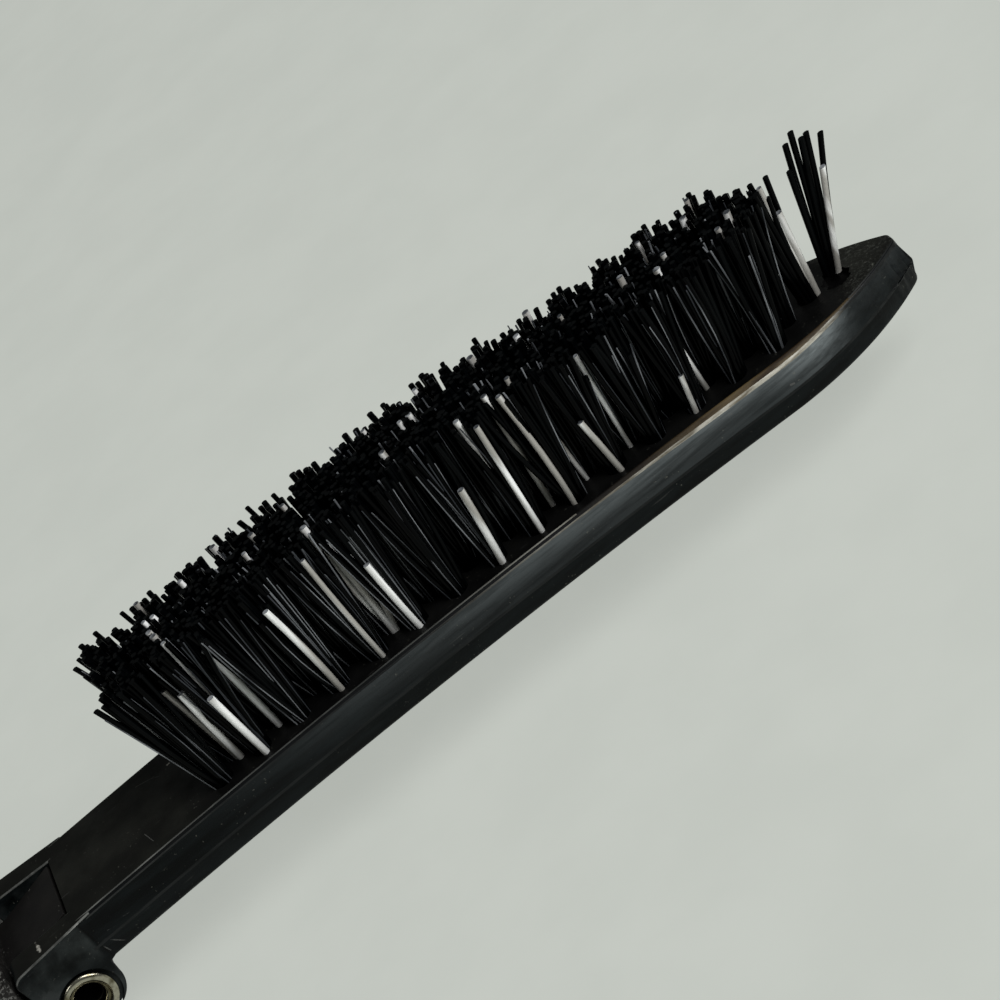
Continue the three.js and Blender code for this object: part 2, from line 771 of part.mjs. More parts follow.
function lockButton() {
  const bottom = HANDLE_RISE + SEAT_GAP;
  const top = bottom + BUTTON_HEIGHT;
  const halfLength = BUTTON_LENGTH / 2;
  const corner = BUTTON_HEIGHT / 2;
  const side = new THREE.Shape();
  side.moveTo(-halfLength, bottom);
  side.lineTo(halfLength, bottom);
  side.lineTo(halfLength, top - corner);
  side.quadraticCurveTo(halfLength, top, halfLength - corner, top);
  side.lineTo(-halfLength + corner, top);
  side.quadraticCurveTo(-halfLength, top, -halfLength, top - corner);
  const capGeometry = sidePlateGeometry(side, -BUTTON_WIDTH / 2, BUTTON_WIDTH / 2);
  capGeometry.translate(-BUTTON_PLACE, 0, 0);
  const stemHalf = STEM_WIDTH / 2;
  const stemBottom = BOLT_BOTTOM + BOLT_THICKNESS + SEAT_GAP;
  const stem = box(
    -BUTTON_PLACE - STEM_LENGTH / 2,
    -BUTTON_PLACE + STEM_LENGTH / 2,
    -stemHalf,
    stemHalf,
    stemBottom,
    bottom + corner,
  );
  const pitch = (BUTTON_LENGTH - 2 * BUTTON_HEIGHT) / BUTTON_RIDGES;
  const ridges = Array.from({ length: BUTTON_RIDGES }, (_, i) => {
    const x = -BUTTON_PLACE + (i - (BUTTON_RIDGES - 1) / 2) * pitch;
    const half = BUTTON_WIDTH / 2 - RIDGE_WIDTH;
    return box(x - RIDGE_WIDTH / 2, x + RIDGE_WIDTH / 2, -half, half, top - corner, top + RIDGE_HEIGHT);
  });
  const pilotTop = BOLT_BOTTOM + BOLT_THICKNESS + BUTTON_SCREW_GRIP + SEAT_GAP;
  const pilot = uprightCylinder(
    BUTTON_SCREW_THREAD / 2 + TURNING_GAP,
    -BUTTON_PLACE,
    0,
    stemBottom - CUT_MARGIN,
    pilotTop,
  );
  return cut(joined(solidOf(capGeometry), stem, ...ridges), pilot);
}

// A bowed leaf that lies on the frame's floor and clicks into the notches of the bolt
function detentSpring() {
  const front = -TONGUE_ROOT - SEAT_GAP;
  const rear = front - SPRING_LENGTH;
  const low = CAVITY_FLOOR + SEAT_GAP;
  const high = BOLT_BOTTOM - SEAT_GAP - SPRING_STRIP;
  const middle = (front + rear) / 2;
  const bow = (x) => low + (high - low) * Math.cos(((x - middle) / SPRING_LENGTH) * Math.PI) ** 2;
  const xs = evenSteps(rear, front, SPRING_STEPS);
  const lower = xs.map((x) => new THREE.Vector2(x, bow(x)));
  const upper = xs.map((x) => new THREE.Vector2(x, bow(x) + SPRING_STRIP)).reverse();
  const shape = new THREE.Shape([...lower, ...upper]);
  return solidOf(sidePlateGeometry(shape, -SPRING_WIDTH / 2, SPRING_WIDTH / 2));
}

// Materials
function material(color, roughness, metalness) {
  return new THREE.MeshStandardMaterial({ color, roughness, metalness });
}

function piece(name, solid, finish) {
  const mesh = new THREE.Mesh(geometryOf(solid), finish);
  mesh.name = name;
  return mesh;
}

function headGroup() {
  const group = new THREE.Group();
  group.add(piece("brush_head", brushHead(), material(0x17171a, 0.5, 0)));
  for (const [name, bristles] of Object.entries(BRISTLE_GROUPS)) {
    group.add(piece(name, bristleSolid(bristles), material(0x08080a, 0.35, 0)));
  }
  group.add(piece("hinge_eyelet", hingeEyelet(), material(0xd8d0b8, 0.25, 1)));
  return group;
}

function lockGroup() {
  const group = new THREE.Group();
  group.add(piece("lock_bolt", lockBolt(), material(0x1b1b1d, 0.5, 0)));
  group.add(piece("lock_button", lockButton(), material(0x121214, 0.55, 0)));
  group.add(piece("button_screw", buttonScrew(), material(0xb9b9b4, 0.3, 1)));
  return group;
}

function handleGroup() {
  const group = new THREE.Group();
  group.add(piece("handle_frame", handleFrame(), material(0x141416, 0.6, 0)));
  group.add(piece("handle_cover", handleCover(), material(0x131315, 0.7, 0)));
  group.add(piece("detent_spring", detentSpring(), material(0xb4b4ae, 0.3, 1)));
  for (const [name, place] of Object.entries(COVER_SCREW_PLACES)) {
    group.add(piece(`cover_screw_${name}`, coverScrew(place), material(0xb9b9b4, 0.3, 1)));
  }
  return group;
}

// The leaning strands at the tip reach further than the plate
const BRUSH_REACH = TIP.x + TUFT_RADIUS * SPREAD_RATIO_ALONG + forwardReach(TIP) + STRAND_RADIUS;

const brush = new THREE.Group();
brush.position.set((HANDLE_REACH - BRUSH_REACH) / 2, 0, BASE_DROP);
brush.add(headGroup(), handleGroup(), lockGroup());

export default brush;
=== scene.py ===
import json
import math
import random
from math import cos, pi, radians, sin, sqrt

import bmesh
import bpy
from mathutils import Matrix, Vector


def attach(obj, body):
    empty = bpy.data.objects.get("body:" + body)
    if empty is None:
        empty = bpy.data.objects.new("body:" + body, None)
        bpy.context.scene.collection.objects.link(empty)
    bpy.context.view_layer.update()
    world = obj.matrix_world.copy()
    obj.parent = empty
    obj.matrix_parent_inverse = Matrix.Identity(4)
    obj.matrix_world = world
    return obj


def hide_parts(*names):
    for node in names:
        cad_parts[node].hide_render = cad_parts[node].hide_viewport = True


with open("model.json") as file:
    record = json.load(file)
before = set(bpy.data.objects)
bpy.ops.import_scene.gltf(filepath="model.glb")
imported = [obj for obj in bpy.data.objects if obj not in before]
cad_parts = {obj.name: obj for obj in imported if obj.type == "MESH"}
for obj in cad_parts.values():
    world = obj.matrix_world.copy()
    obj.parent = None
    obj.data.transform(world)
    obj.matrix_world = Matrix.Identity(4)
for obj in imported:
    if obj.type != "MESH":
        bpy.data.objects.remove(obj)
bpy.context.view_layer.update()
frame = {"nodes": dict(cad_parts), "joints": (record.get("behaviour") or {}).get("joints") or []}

# A folding travel brush, opened out. Shapes are drawn in millimetres from the hinge axis,
# +X to the tip of the head and +Z to the bristle tips, and placed on the frame in metres.
MILLIMETRE = 0.001
HINGE = Vector(next(j for j in frame["joints"] if j["name"] == "head_fold")["pos_m"])
PLACEMENT = Matrix.Translation(HINGE) @ Matrix.Scale(MILLIMETRE, 4)

# Camera, which looks down on the brush with the head rising to the upper right
CAMERA_TARGET = (56.03, 7.2, 5)
CAMERA_DISTANCE = 276.4
CAMERA_AZIMUTH = 0.09
CAMERA_ELEVATION = 30.01
CAMERA_ROLL = 38.95
CAMERA_LENS = 108
CAMERA_SENSOR = 36
CAMERA_CLIP = (0.01, 20)

# Lamps, each as its place, its target, its size and its power
KEY_LAMP = ((390, -340, 476), (50, 0, 0), (420, 420), 5.6)
FILL_LAMP = ((-400, -380, 380), (0, 0, 0), (200, 200), 0.6)
WORLD_COLOUR = (0.95, 1.0, 0.97, 1)
WORLD_STRENGTH = 0.12

# Floor
FLOOR_HALF = 6000
FLOOR_DEPTH = 10
FLOOR_GAP = 0.02
FLOOR_PLAIN_SHARE = 0.8

# Head plate
HEAD_REACH = 98.3
HEAD_WIDTH = 14.4
HEAD_THICKNESS = 5.3
BACK_RISE = 2.05
ARCH_RADIUS = 954
ARCH_CREST = 36.5
RIDGE_RISE = 2.1
SIDE_DRAFT = 0.25
BACK_EDGE = 0.45
RIDGE_EDGE = 0.14
TOP_BEVEL = 0.32
TOP_EDGE = 0.08
NOSE_LENGTH = 17
NOSE_END_WIDTH = 2.1
NOSE_CORNER = 0.32
NOSE_THINNING = 0.4
NOSE_TOP_ROUND = 0.14
NOSE_BACK_ROUND = 0.6
NOSE_BEVEL = 0.24
NOSE_FAR_BEVEL = 0.1
WORN_EDGE = 0.2
CRESCENT_BEVEL = 0.5
CRESCENT_RISE = (60, 78)
CRESCENT_FADE = (83.5, 91)
FLASH_START = 94.6
FLASH_SIZE = 0.4

# Fork of the head
FORK_DEPTH = 3.3
FORK_SLOT = 9
EAR_CREASE = 3.7
EAR_OVERLAP = 1.5
EAR_END = 3.8
EAR_FOOT = 3.5
EAR_CORNER = 1
EAR_INSET = 0.1
OUTER_FLARE_SLOPES = {-1: 0.164, 1: 0.1}
INNER_FLARE_SLOPE = 0.07
EAR_EDGE = 0.15
LUG_RADIUS = 2.85
LUG_FRONT = 0.75
LUG_REAR = 0.2
LUG_RISE = 0.2
LUG_DRAFT = 0.7

# Hinge eyelet
EYELET_BARREL = 3.2
EYELET_BORE = 2.6
EYELET_FLANGE = 5.25
FLANGE_THICKNESS = 0.5
FLANGE_SEAT = 6.85
EYELET_ROLL = 0.52
EYELET_GROOVE = 0.3
EYELET_THROAT = 1.74
EYELET_FUNNEL = 1
EYELET_RING = 0.42

# Bristles. SHORT_CUT and PALE_CUT run from millimetres to a share of the strand's length
BRISTLE_LENGTHS = (13.7, 11.9)
TRIM_STEP = (52, 72)
TIP_BRISTLE_LENGTH = 13.6
TUFT_STRANDS = 28
TIP_STRANDS = 7
TIP_STRAND_RADIUS = 0.33
TIP_HOLE_STRETCH = 1.75
TIP_HOLE_RIM = (0.9, 1.35)
HOLE_RADIUS = 1.05
HOLE_DEPTH = 0.9
TUFT_PITCH = 4.44
FIRST_TUFT = 21.5
EDGE_ROW_SETBACK = 14
MIDDLE_ROW_SETBACK = 9.6
LAST_TUFT = (HEAD_REACH - 9.4, -0.7)
TIP_TUFT = (HEAD_REACH - 6.3, -1.1)
TIP_STAND = (0.3, 1.8)
ROW_TO_EDGE = 2.8
SPREAD_ALONG = 2.6
SPREAD_ACROSS = 2.1
LEAN_DEGREES = (-3, 9)
LAST_LEAN_DEGREES = 3
LAST_SPREAD = 1.6
LAST_PALE_LENGTH = 9
LAST_PALE_ROOT = (0.8, -0.35)
LAST_PALE_TIP = (2.1, -0.5)
TIP_LEAN_DEGREES = 19
TIP_FAN_DEGREES = 6
BLACK_RADIUS = (0.23, 0.31)
PALE_RADIUS = (0.24, 0.37)
THIN_RADIUS = (0.06, 0.1)
PALE_SHARE = 0.022
FRONT_PALE_CHANCES = (0.62, 0.2)
THIN_SHARE = 0.1
TRIM_SPREAD = (-0.45, 0.35)
SHORT_SHARE = 0.16
SHORT_CUT = (0.5, 0.3)
PALE_CUT = (0.3, 0.36)
PALE_PROUD = 0.35
PALE_BOW = 0.4
BOW_ALONG = 0.16
BOW_ACROSS = 0.12
WANDER = 0.38
WANDER_ACROSS = 0.7
STRAY_SHARE = 0.06
STRAY_REACH = 1.7
FIRST_FAN = 0.8
TIP_TRIM = (-1.2, 0.2)
TIP_SHORT_CUT = 2.4
TIP_FRONT_CUT = 2
TIP_ROW = (0.6, -0.4)
TIP_WANDER = 0.35
TIP_PALE_SHIFT = 0.5
TIP_SINK = 0.1
TIP_BOW = 0.1

# Thin grey lines along black strands that stand for their glint, moved by shares of the strand's radius
GLINT_SHARE = 0.85
GLINT_FADE = (30, 84)
GLINT_RADIUS = (0.04, 0.07)
GLINT_CUT = (0.02, 0.15)
GLINT_ASIDE = 0.7
GLINT_IN_FRONT = 0.8
SEED = 11

# Handle
HANDLE_REACH = 105
SHOULDER = 4.2
SHOULDER_WIDTH = 17.8
HANDLE_WIDTH = 19.2
TAIL_RADIUS = 7
TAIL_LIFT = 2.4
BASE_DROP = 6.5
BASE_CORNER = 1.3
SEAM_RISE = 1.7
HANDLE_RISE = 6.9
CROWN_WIDTH = 4.2
CROWN_DROP = 3.4
HANDLE_WALL = 1.8
FRONT_WALL = 2.2
TAIL_WALL = 5
CAVITY_FLOOR = 1.2
SEAM_EDGE = 0.2
CHANNEL_EDGE = 0.3
PEBBLE_SIZE = 0.55
PEBBLE_HEIGHT = 0.11

# Tongue of the handle, between the ears
TONGUE_LOW = 5.1
TONGUE_RAMP_END = 3.2
TONGUE_NOSE = 3
TONGUE_DROP = 2.6
TONGUE_HEEL = 2
TONGUE_UNDER = 1.4
TONGUE_ROOT = 8.5
TONGUE_EDGE = 0.12

# Lock and screws
BOLT_BOTTOM = 2.9
BOLT_THICKNESS = 1.5
BOLT_WIDTH = 5
BOLT_TAIL = 25
BOLT_TRAVEL = 2.4
BUTTON_PLACE = 22
STEM_LENGTH = 4
STEM_WIDTH = 3.6
COVER_SCREWS = (32, 58, 84)
SCREW_THREAD = 2
SCREW_HEAD = 3.8
SCREW_HEAD_HEIGHT = 1
SCREW_RECESS = 0.2
BOSS_DIAMETER = 5.6
FRAME_BOSS_HEIGHT = 1

# Clearances, facets and eased edges of the frame's own nodes
SEAT_GAP = 0.3
TURNING_GAP = 0.2
NEST_GAP = 0.5
CUT_MARGIN = 1
EDGE_STEPS = 3
CROWN_STEPS = 12
ARC_STEPS = 20
ROUND_SIDES = 72
CORNER_SHARE = 0.49
HEAD_STEPS = (60, 24, 14, 8)
HANDLE_STEPS = (40, 18)
SHARP_DEGREES = 38
STRAND_SHARP_DEGREES = 60
EYELET_SHARP_DEGREES = 50
TUFT_HOLE_SIDES = 24
STRAND_SIDES = 8
STRAND_STEPS = 4
THREAD_SIDES = 32
SCREW_HEAD_SIDES = 48
WELD_DISTANCE = 0.001
NODE_EDGE_STEPS = 2
BOLT_EDGE = 0.1
BUTTON_EDGE = 0.14
METAL_EDGE = 0.05

# Slots of the head's materials
PLASTIC, EDGE, CRESCENT, HOLE = range(4)

# Where the head's looks change along it and over its back, each from none to full
# The next two spans bound the near-black top among the bristles, a painted shade.
BED_START = (16, 22)
BED_END = (94, 90)
# The next five spans place a pale bluish painted reflection on the sides towards the nose.
REFLECTION_RISE = (14, 84)
REFLECTION_GLOW = (80, 88)
REFLECTION_FADE = (91.5, 85.5)
REFLECTION_HEIGHT = (2.6, 5)
REFLECTION_FOOT = (2.05, 2.25)
GRIT_START = (89.5, 93.5)
# The next five spans place the edges' wear and painted highlight.
WORN_HIGHLIGHT_RISE = (40, 88)
WORN_HIGHLIGHT_FADE = (90.8, 86.5)
WORN_HIGHLIGHT_FOOT = (3.4, 4)
ARM_HIGHLIGHT = (26, 14)
ARM_HIGHLIGHT_HEIGHT = (5.02, 5.2)
# The next two spans bound the brown sheen on the bevel at the nose, a painted reflection.
SHEEN_RISE = (58, 80)
SHEEN_FADE = (94, 89)
EAR_INNER_EDGE = 4.7

# Marks on the head, each from one place to another and with its width
PALE_MARKS = [
    ((-0.5, -4.7, 6.62), (-0.35, -6, 6.64), 0.2),
    ((-0.35, -5.9, 6.64), (-0.3, -6.8, 6.65), 0.3),
    ((17.4, 4, 7.16), (17.6, 4, 7.16), 0.16),
]
FAINT_MARKS = [
    ((3.95, -7.1, 3.9), (4.25, -7.1, 2.4), 0.1),
    ((4.8, -7.1, 3.5), (5.9, -7.1, 2.1), 0.09),
    ((5.3, -7.1, 4.3), (6.5, -7.1, 4), 0.07),
    ((13.8, 4.6, 7.1), (15.4, 4, 7.1), 0.06),
    ((15.4, 4, 7.1), (16.7, 3, 7.1), 0.06),
    ((16.7, 3, 7.1), (17.8, 1.7, 7.1), 0.06),
    ((12.8, -2.9, 7.05), (13.3, -4.8, 7.05), 0.06),
    ((76.4, -7.1, 5.3), (76.7, -7.1, 5.3), 0.16),
    ((82.4, -7.1, 3.8), (82.7, -7.1, 3.7), 0.16),
    ((7.2, -7.1, 4.4), (10, -7.1, 4.1), 0.06),
]
EDGE_MARKS = [
    ((3.4, -7.2, 6.65), (3.8, -7.1, 6.75), 0.2),
    ((2.6, -7.3, 6.6), (3.3, -7.2, 6.7), 0.12),
    ((9.1, -7.2, 6.8), (9.8, -6.9, 7), 0.16),
]
EAR_SMUDGE = ((-2.4, -8.1, 3.2), (-2, -8, 2.6), 1.1)
# A dark line along the ear's crease, painted shade.
EAR_CREASE_SHADE = ((3.75, -7.1, 6.4), (4.1, -7.1, 1.5), 0.16)


# Node materials
class Paint:
    """A node material, written from its coordinates to its shader."""

    def __init__(self, name):
        self.material = bpy.data.materials.new(name)
        self.material.use_nodes = True
        self.tree = self.material.node_tree
        self.shader = self.tree.nodes["Principled BSDF"]
        self.place = self.node("ShaderNodeTexCoord").outputs["Object"]

    def node(self, kind, inputs=None, **settings):
        made = self.tree.nodes.new(kind)
        for key, value in settings.items():
            setattr(made, key, value)
        for key, value in (inputs or {}).items():
            self.feed(made.inputs[key], value)
        return made

    def feed(self, socket, value):
        """Links or sets a socket. None leaves it as it is."""
        if isinstance(value, bpy.types.NodeSocket):
            self.tree.links.new(value, socket)
        elif value is not None:
            socket.default_value = value

    def along(self, axis):
        """One coordinate of the place, in millimetres from the hinge axis."""
        coordinate = self.node("ShaderNodeSeparateXYZ", {"Vector": self.place}).outputs[axis]
        origin = HINGE["XYZ".index(axis)] / MILLIMETRE
        return self.math("MULTIPLY_ADD", coordinate, 1 / MILLIMETRE, -origin)

    def above_back(self):
        """Height in millimetres over the arched back of the head."""
        from_crest = self.math("SUBTRACT", self.along("X"), ARCH_CREST)
        fall = self.times(self.math("POWER", from_crest, 2), 1 / (2 * ARCH_RADIUS))
        return self.math("ADD", self.math("SUBTRACT", self.along("Z"), BACK_RISE), fall)

    def math(self, operation, *values):
        made = self.node("ShaderNodeMath", dict(enumerate(values)), operation=operation)
        return made.outputs["Value"]

    def times(self, product, *others):
        """The product of all the values."""
        for value in others:
            product = self.math("MULTIPLY", product, value)
        return product

    def vector(self, operation, *values):
        made = self.node("ShaderNodeVectorMath", dict(enumerate(values)), operation=operation)
        return made.outputs["Value" if operation in ("DOT_PRODUCT", "LENGTH") else "Vector"]

    def stroke(self, start, end, width):
        """A short ragged mark between two places in millimetres from the hinge axis, as a share."""
        reach = Vector(end) - Vector(start)
        origin = HINGE + Vector(start) * MILLIMETRE
        offset = self.vector("SUBTRACT", self.place, origin)
        offset = self.vector("MULTIPLY", offset, (1 / MILLIMETRE,) * 3)
        share = self.times(self.vector("DOT_PRODUCT", offset, reach), 1 / reach.length_squared)
        share = self.math("MINIMUM", self.math("MAXIMUM", share, 0), 1)
        shares = self.node("ShaderNodeCombineXYZ", {i: share for i in range(3)}).outputs["Vector"]
        nearest = self.vector("MULTIPLY", shares, reach)
        distance = self.vector("LENGTH", self.vector("SUBTRACT", offset, nearest))
        ragged = self.math("MULTIPLY_ADD", self.noise(0.25), width, distance)
        return self.ramp(ragged, width * 1.4, width * 0.8)

    def strokes(self, marks):
        total = 0
        for mark in marks:
            total = self.math("MAXIMUM", total, self.stroke(*mark))
        return total

    def noise(self, size, detail=3, stretch=(1, 1, 1), rough=0.55):
        """Noise whose grains are about that size in millimetres."""
        mapped = self.node("ShaderNodeMapping", {"Vector": self.place, "Scale": stretch})
        inputs = {"Vector": mapped.outputs["Vector"], "Scale": 1 / (size * MILLIMETRE)}
        inputs.update({"Detail": detail, "Roughness": rough})
        return self.node("ShaderNodeTexNoise", inputs).outputs["Fac"]

    def ramp(self, value, low, high, start=0.0, end=1.0):
        inputs = {"Value": value, "From Min": low, "From Max": high, "To Min": start, "To Max": end}
        made = self.node("ShaderNodeMapRange", inputs, interpolation_type="SMOOTHSTEP")
        return made.outputs["Result"]

    def mix(self, share, first, second):
        made = self.node("ShaderNodeMix", data_type="RGBA")
        self.feed(made.inputs["Factor"], share)
        colours = [socket for socket in made.inputs if socket.type == "RGBA"]
        for socket, value in zip(colours, (first, second)):
            self.feed(socket, value if isinstance(value, bpy.types.NodeSocket) else (*value, 1))
        return next(socket for socket in made.outputs if socket.type == "RGBA")

    def over(self, base, colour, *shares):
        """A colour laid over a base, by the product of the shares."""
        return self.mix(self.times(*shares), base, colour)

    def bump(self, height, depth, normal=None):
        """Raises the surface by up to that many millimetres."""
        inputs = {"Height": height, "Strength": 1.0, "Distance": depth * MILLIMETRE, "Normal": normal}
        return self.node("ShaderNodeBump", inputs).outputs["Normal"]

    def finish(self, colour, roughness, normal=None, level=0.5, metallic=0):
        """Feeds the shader. The level is that of its reflections."""
        inputs = {"Base Color": colour, "Roughness": roughness, "Normal": normal}
        inputs.update({"Specular IOR Level": level, "Metallic": metallic})
        for name, value in inputs.items():
            self.feed(self.shader.inputs[name], value)
        return self.material


def dust(paint, size, amount):
    """Sparse pale flecks of uneven shape, as a share from 0 to 1."""
    flecks = paint.ramp(paint.noise(size, detail=2), 0.72 - amount, 0.76 - amount)
    gate = paint.ramp(paint.noise(size * 9, detail=1), 0.5, 0.62)
    return paint.times(flecks, gate)


def scratches(paint, size):
    """Fine marks, long along the brush."""
    fine = paint.noise(size, detail=2, stretch=(0.04, 1, 1))
    gate = paint.ramp(paint.noise(size * 14, detail=2), 0.52, 0.62)
    return paint.times(paint.ramp(fine, 0.68, 0.74), gate)


def head_plastic():
    """Black plastic: warm and mottled on top and bluish on the sides, with painted light on upward
    faces, painted shade among the bristles and a painted reflection on the sides towards the nose.
    """
    paint = Paint("head_plastic")
    along = paint.along("X")
    height = paint.above_back()
    normal = paint.node("ShaderNodeTexCoord").outputs["Normal"]
    upward = paint.ramp(paint.node("ShaderNodeSeparateXYZ", {"Vector": normal}).outputs["Z"], 0.75, 0.95)
    patches = paint.ramp(paint.noise(5, detail=5), 0.35, 0.7)
    arm_top = paint.mix(patches, (0.0036, 0.0037, 0.003), (0.0096, 0.0098, 0.008))
    # Among the bristles the top is near black: painted shade of the tufts.
    shaded_bed_top = paint.mix(patches, (0.0012, 0.0012, 0.0012), (0.0028, 0.0028, 0.0026))
    top = paint.over(arm_top, shaded_bed_top, paint.ramp(along, *BED_START), paint.ramp(along, *BED_END))
    brushed = paint.ramp(paint.noise(1.6, 5, (0.12, 1, 1), 0.7), 0.36, 0.66)
    side = paint.mix(brushed, (0.0004, 0.0008, 0.0009), (0.0028, 0.0042, 0.0046))
    # A pale bluish sheet in streaks over the upper side band towards the nose: a painted reflection.
    glow = paint.times(paint.ramp(along, *REFLECTION_GLOW), 0.55)
    rise = paint.math("MULTIPLY_ADD", paint.ramp(along, *REFLECTION_RISE), 0.42, glow)
    fade = paint.ramp(along, *REFLECTION_FADE, 0.06, 1)
    under_edge = paint.ramp(height, *REFLECTION_HEIGHT, 0.25, 1)
    over_ridge = paint.ramp(height, *REFLECTION_FOOT)
    reflection_streaks = paint.ramp(paint.noise(0.6, 5, (0.07, 1, 1), 0.65), 0.32, 0.6, 0.55, 1.12)
    side = paint.over(side, (0.2, 0.224, 0.23), rise, fade, under_edge, over_ridge, reflection_streaks)
    # The ear's flared face behind its crease is painted lighter: painted light on it.
    lit_flare = paint.ramp(along, EAR_CREASE + 0.1, EAR_CREASE - 0.3)
    side = paint.over(side, (0.023, 0.027, 0.0265), lit_flare, patches)
    side = paint.over(side, (0.028, 0.031, 0.031), paint.stroke(*EAR_SMUDGE), 0.6)
    # A dark line along the ear's crease: painted shade.
    side = paint.over(side, (0.0003, 0.0004, 0.0004), paint.stroke(*EAR_CREASE_SHADE), 0.8)
    # Faces that look up take the lighter top colour and the others the darker, bluish side colour:
    # painted light and shade by how each face is turned.
    colour = paint.mix(upward, side, top)
    speckle = paint.ramp(paint.noise(0.3, detail=5, rough=0.7), 0.46, 0.72)
    clusters = paint.ramp(paint.noise(1.7), 0.4, 0.66, 0.3, 1)
    grit = (speckle, clusters, paint.ramp(along, *GRIT_START), paint.ramp(upward, 0, 1, 0.08, 0.7))
    colour = paint.over(colour, (0.06, 0.064, 0.055), *grit)
    colour = paint.over(colour, (0.06, 0.06, 0.056), scratches(paint, 0.22), 0.3)
    colour = paint.over(colour, (0.12, 0.12, 0.1), dust(paint, 0.3, 0.04), 0.35)
    colour = paint.over(colour, (0.1, 0.1, 0.095), paint.strokes(FAINT_MARKS), 0.5)
    colour = paint.over(colour, (0.36, 0.35, 0.31), paint.strokes(PALE_MARKS), 0.85)
    roughness = paint.ramp(paint.noise(2.2, detail=5), 0.3, 0.72, 0.36, 0.58)
    normal = paint.bump(paint.noise(0.16), 0.012)
    normal = paint.bump(scratches(paint, 0.3), -0.01, normal)
    return paint.finish(colour, roughness, normal, level=0.1)


def edge_plastic():
    """The line along an edge, partly wear and partly a painted highlight, brighter the nearer it is to
    the nose.
    """
    paint = Paint("worn_and_highlit_edge")
    along = paint.along("X")
    height = paint.above_back()
    broken = paint.ramp(paint.noise(0.7, 5, (0.14, 1, 1), 0.65), 0.34, 0.6)
    high = paint.ramp(height, *WORN_HIGHLIGHT_FOOT)
    on_ear = paint.ramp(along, EAR_CREASE, EAR_CREASE - 1)
    from_inner = paint.math("ABSOLUTE", paint.math("ADD", paint.along("Y"), EAR_INNER_EDGE))
    patchy = paint.ramp(paint.noise(1.1), 0.35, 0.65, 0.3, 0.75)
    # Along the arm's top edge and the ears' edges: a pale line, a painted highlight over some wear.
    arm = paint.times(
        high,
        paint.ramp(height, *ARM_HIGHLIGHT_HEIGHT, 0.1, 1),
        paint.ramp(along, *ARM_HIGHLIGHT, 0.35, 1),
        paint.mix(on_ear, (1, 1, 1), patchy),
        paint.math("SUBTRACT", 1, paint.times(on_ear, paint.ramp(from_inner, 0.7, 0.4))),
        paint.ramp(broken, 0, 1, 0.45, 1),
    )
    plain = paint.mix(broken, (0.002, 0.0026, 0.0028), (0.008, 0.009, 0.0092))
    # Towards the nose the edge turns cream: wear and a painted highlight.
    rubbed_and_lit = paint.mix(broken, (0.13, 0.115, 0.085), (0.43, 0.415, 0.36))
    colour = paint.over(plain, (0.105, 0.108, 0.1), arm)
    colour = paint.over(colour, rubbed_and_lit, paint.ramp(along, *WORN_HIGHLIGHT_RISE), paint.ramp(along, *WORN_HIGHLIGHT_FADE), high)
    colour = paint.over(colour, (0.2, 0.2, 0.19), paint.strokes(EDGE_MARKS), 0.7)
    roughness = paint.ramp(broken, 0, 1, 0.42, 0.3)
    return paint.finish(colour, roughness, paint.bump(paint.noise(0.2), 0.01), level=0.15)


def crescent_plastic():
    """The bevel along the top edge at the nose, with a brown sheen that is a painted reflection."""
    paint = Paint("crescent_bevel")
    along = paint.along("X")
    shares = (paint.ramp(along, *SHEEN_RISE), paint.ramp(along, *SHEEN_FADE))
    mottle = paint.ramp(paint.noise(1.2, detail=4, stretch=(0.2, 1, 1)), 0.35, 0.65)
    # The tan colour is a painted reflection.
    tan = paint.mix(mottle, (0.014, 0.0085, 0.004), (0.06, 0.043, 0.02))
    colour = paint.over((0.0024, 0.0028, 0.003), tan, *shares)
    roughness = paint.ramp(mottle, 0, 1, 0.46, 0.36)
    return paint.finish(colour, roughness, paint.bump(paint.noise(0.25), 0.008), level=0.06)


def nylon(name, dark, light, roughness, level):
    """A strand's material, darker towards the root: painted shade."""
    paint = Paint(name)
    streak = paint.ramp(paint.noise(1.5, detail=2, stretch=(1, 1, 0.08)), 0.42, 0.62)
    # Darker towards the root: painted shade among the strands.
    raised = paint.ramp(paint.above_back(), HEAD_THICKNESS, HEAD_THICKNESS + 6, 0.45, 1)
    root = tuple(0.3 * channel for channel in dark)
    colour = paint.mix(raised, root, paint.mix(streak, dark, light))
    normal = paint.bump(paint.noise(0.3, detail=2, stretch=(1, 1, 0.1)), 0.006)
    return paint.finish(colour, paint.ramp(streak, 0, 1, roughness, roughness + 0.12), normal, level)


def plated_metal():
    """Bright plated steel with faint stains."""
    paint = Paint("zinc_plate")
    stain = paint.ramp(paint.noise(1.1, detail=4), 0.4, 0.7)
    colour = paint.mix(stain, (0.66, 0.66, 0.64), (0.42, 0.42, 0.4))
    rough = paint.ramp(stain, 0, 1, 0.24, 0.38)
    return paint.finish(colour, rough, paint.bump(paint.noise(0.35), 0.006), metallic=1)


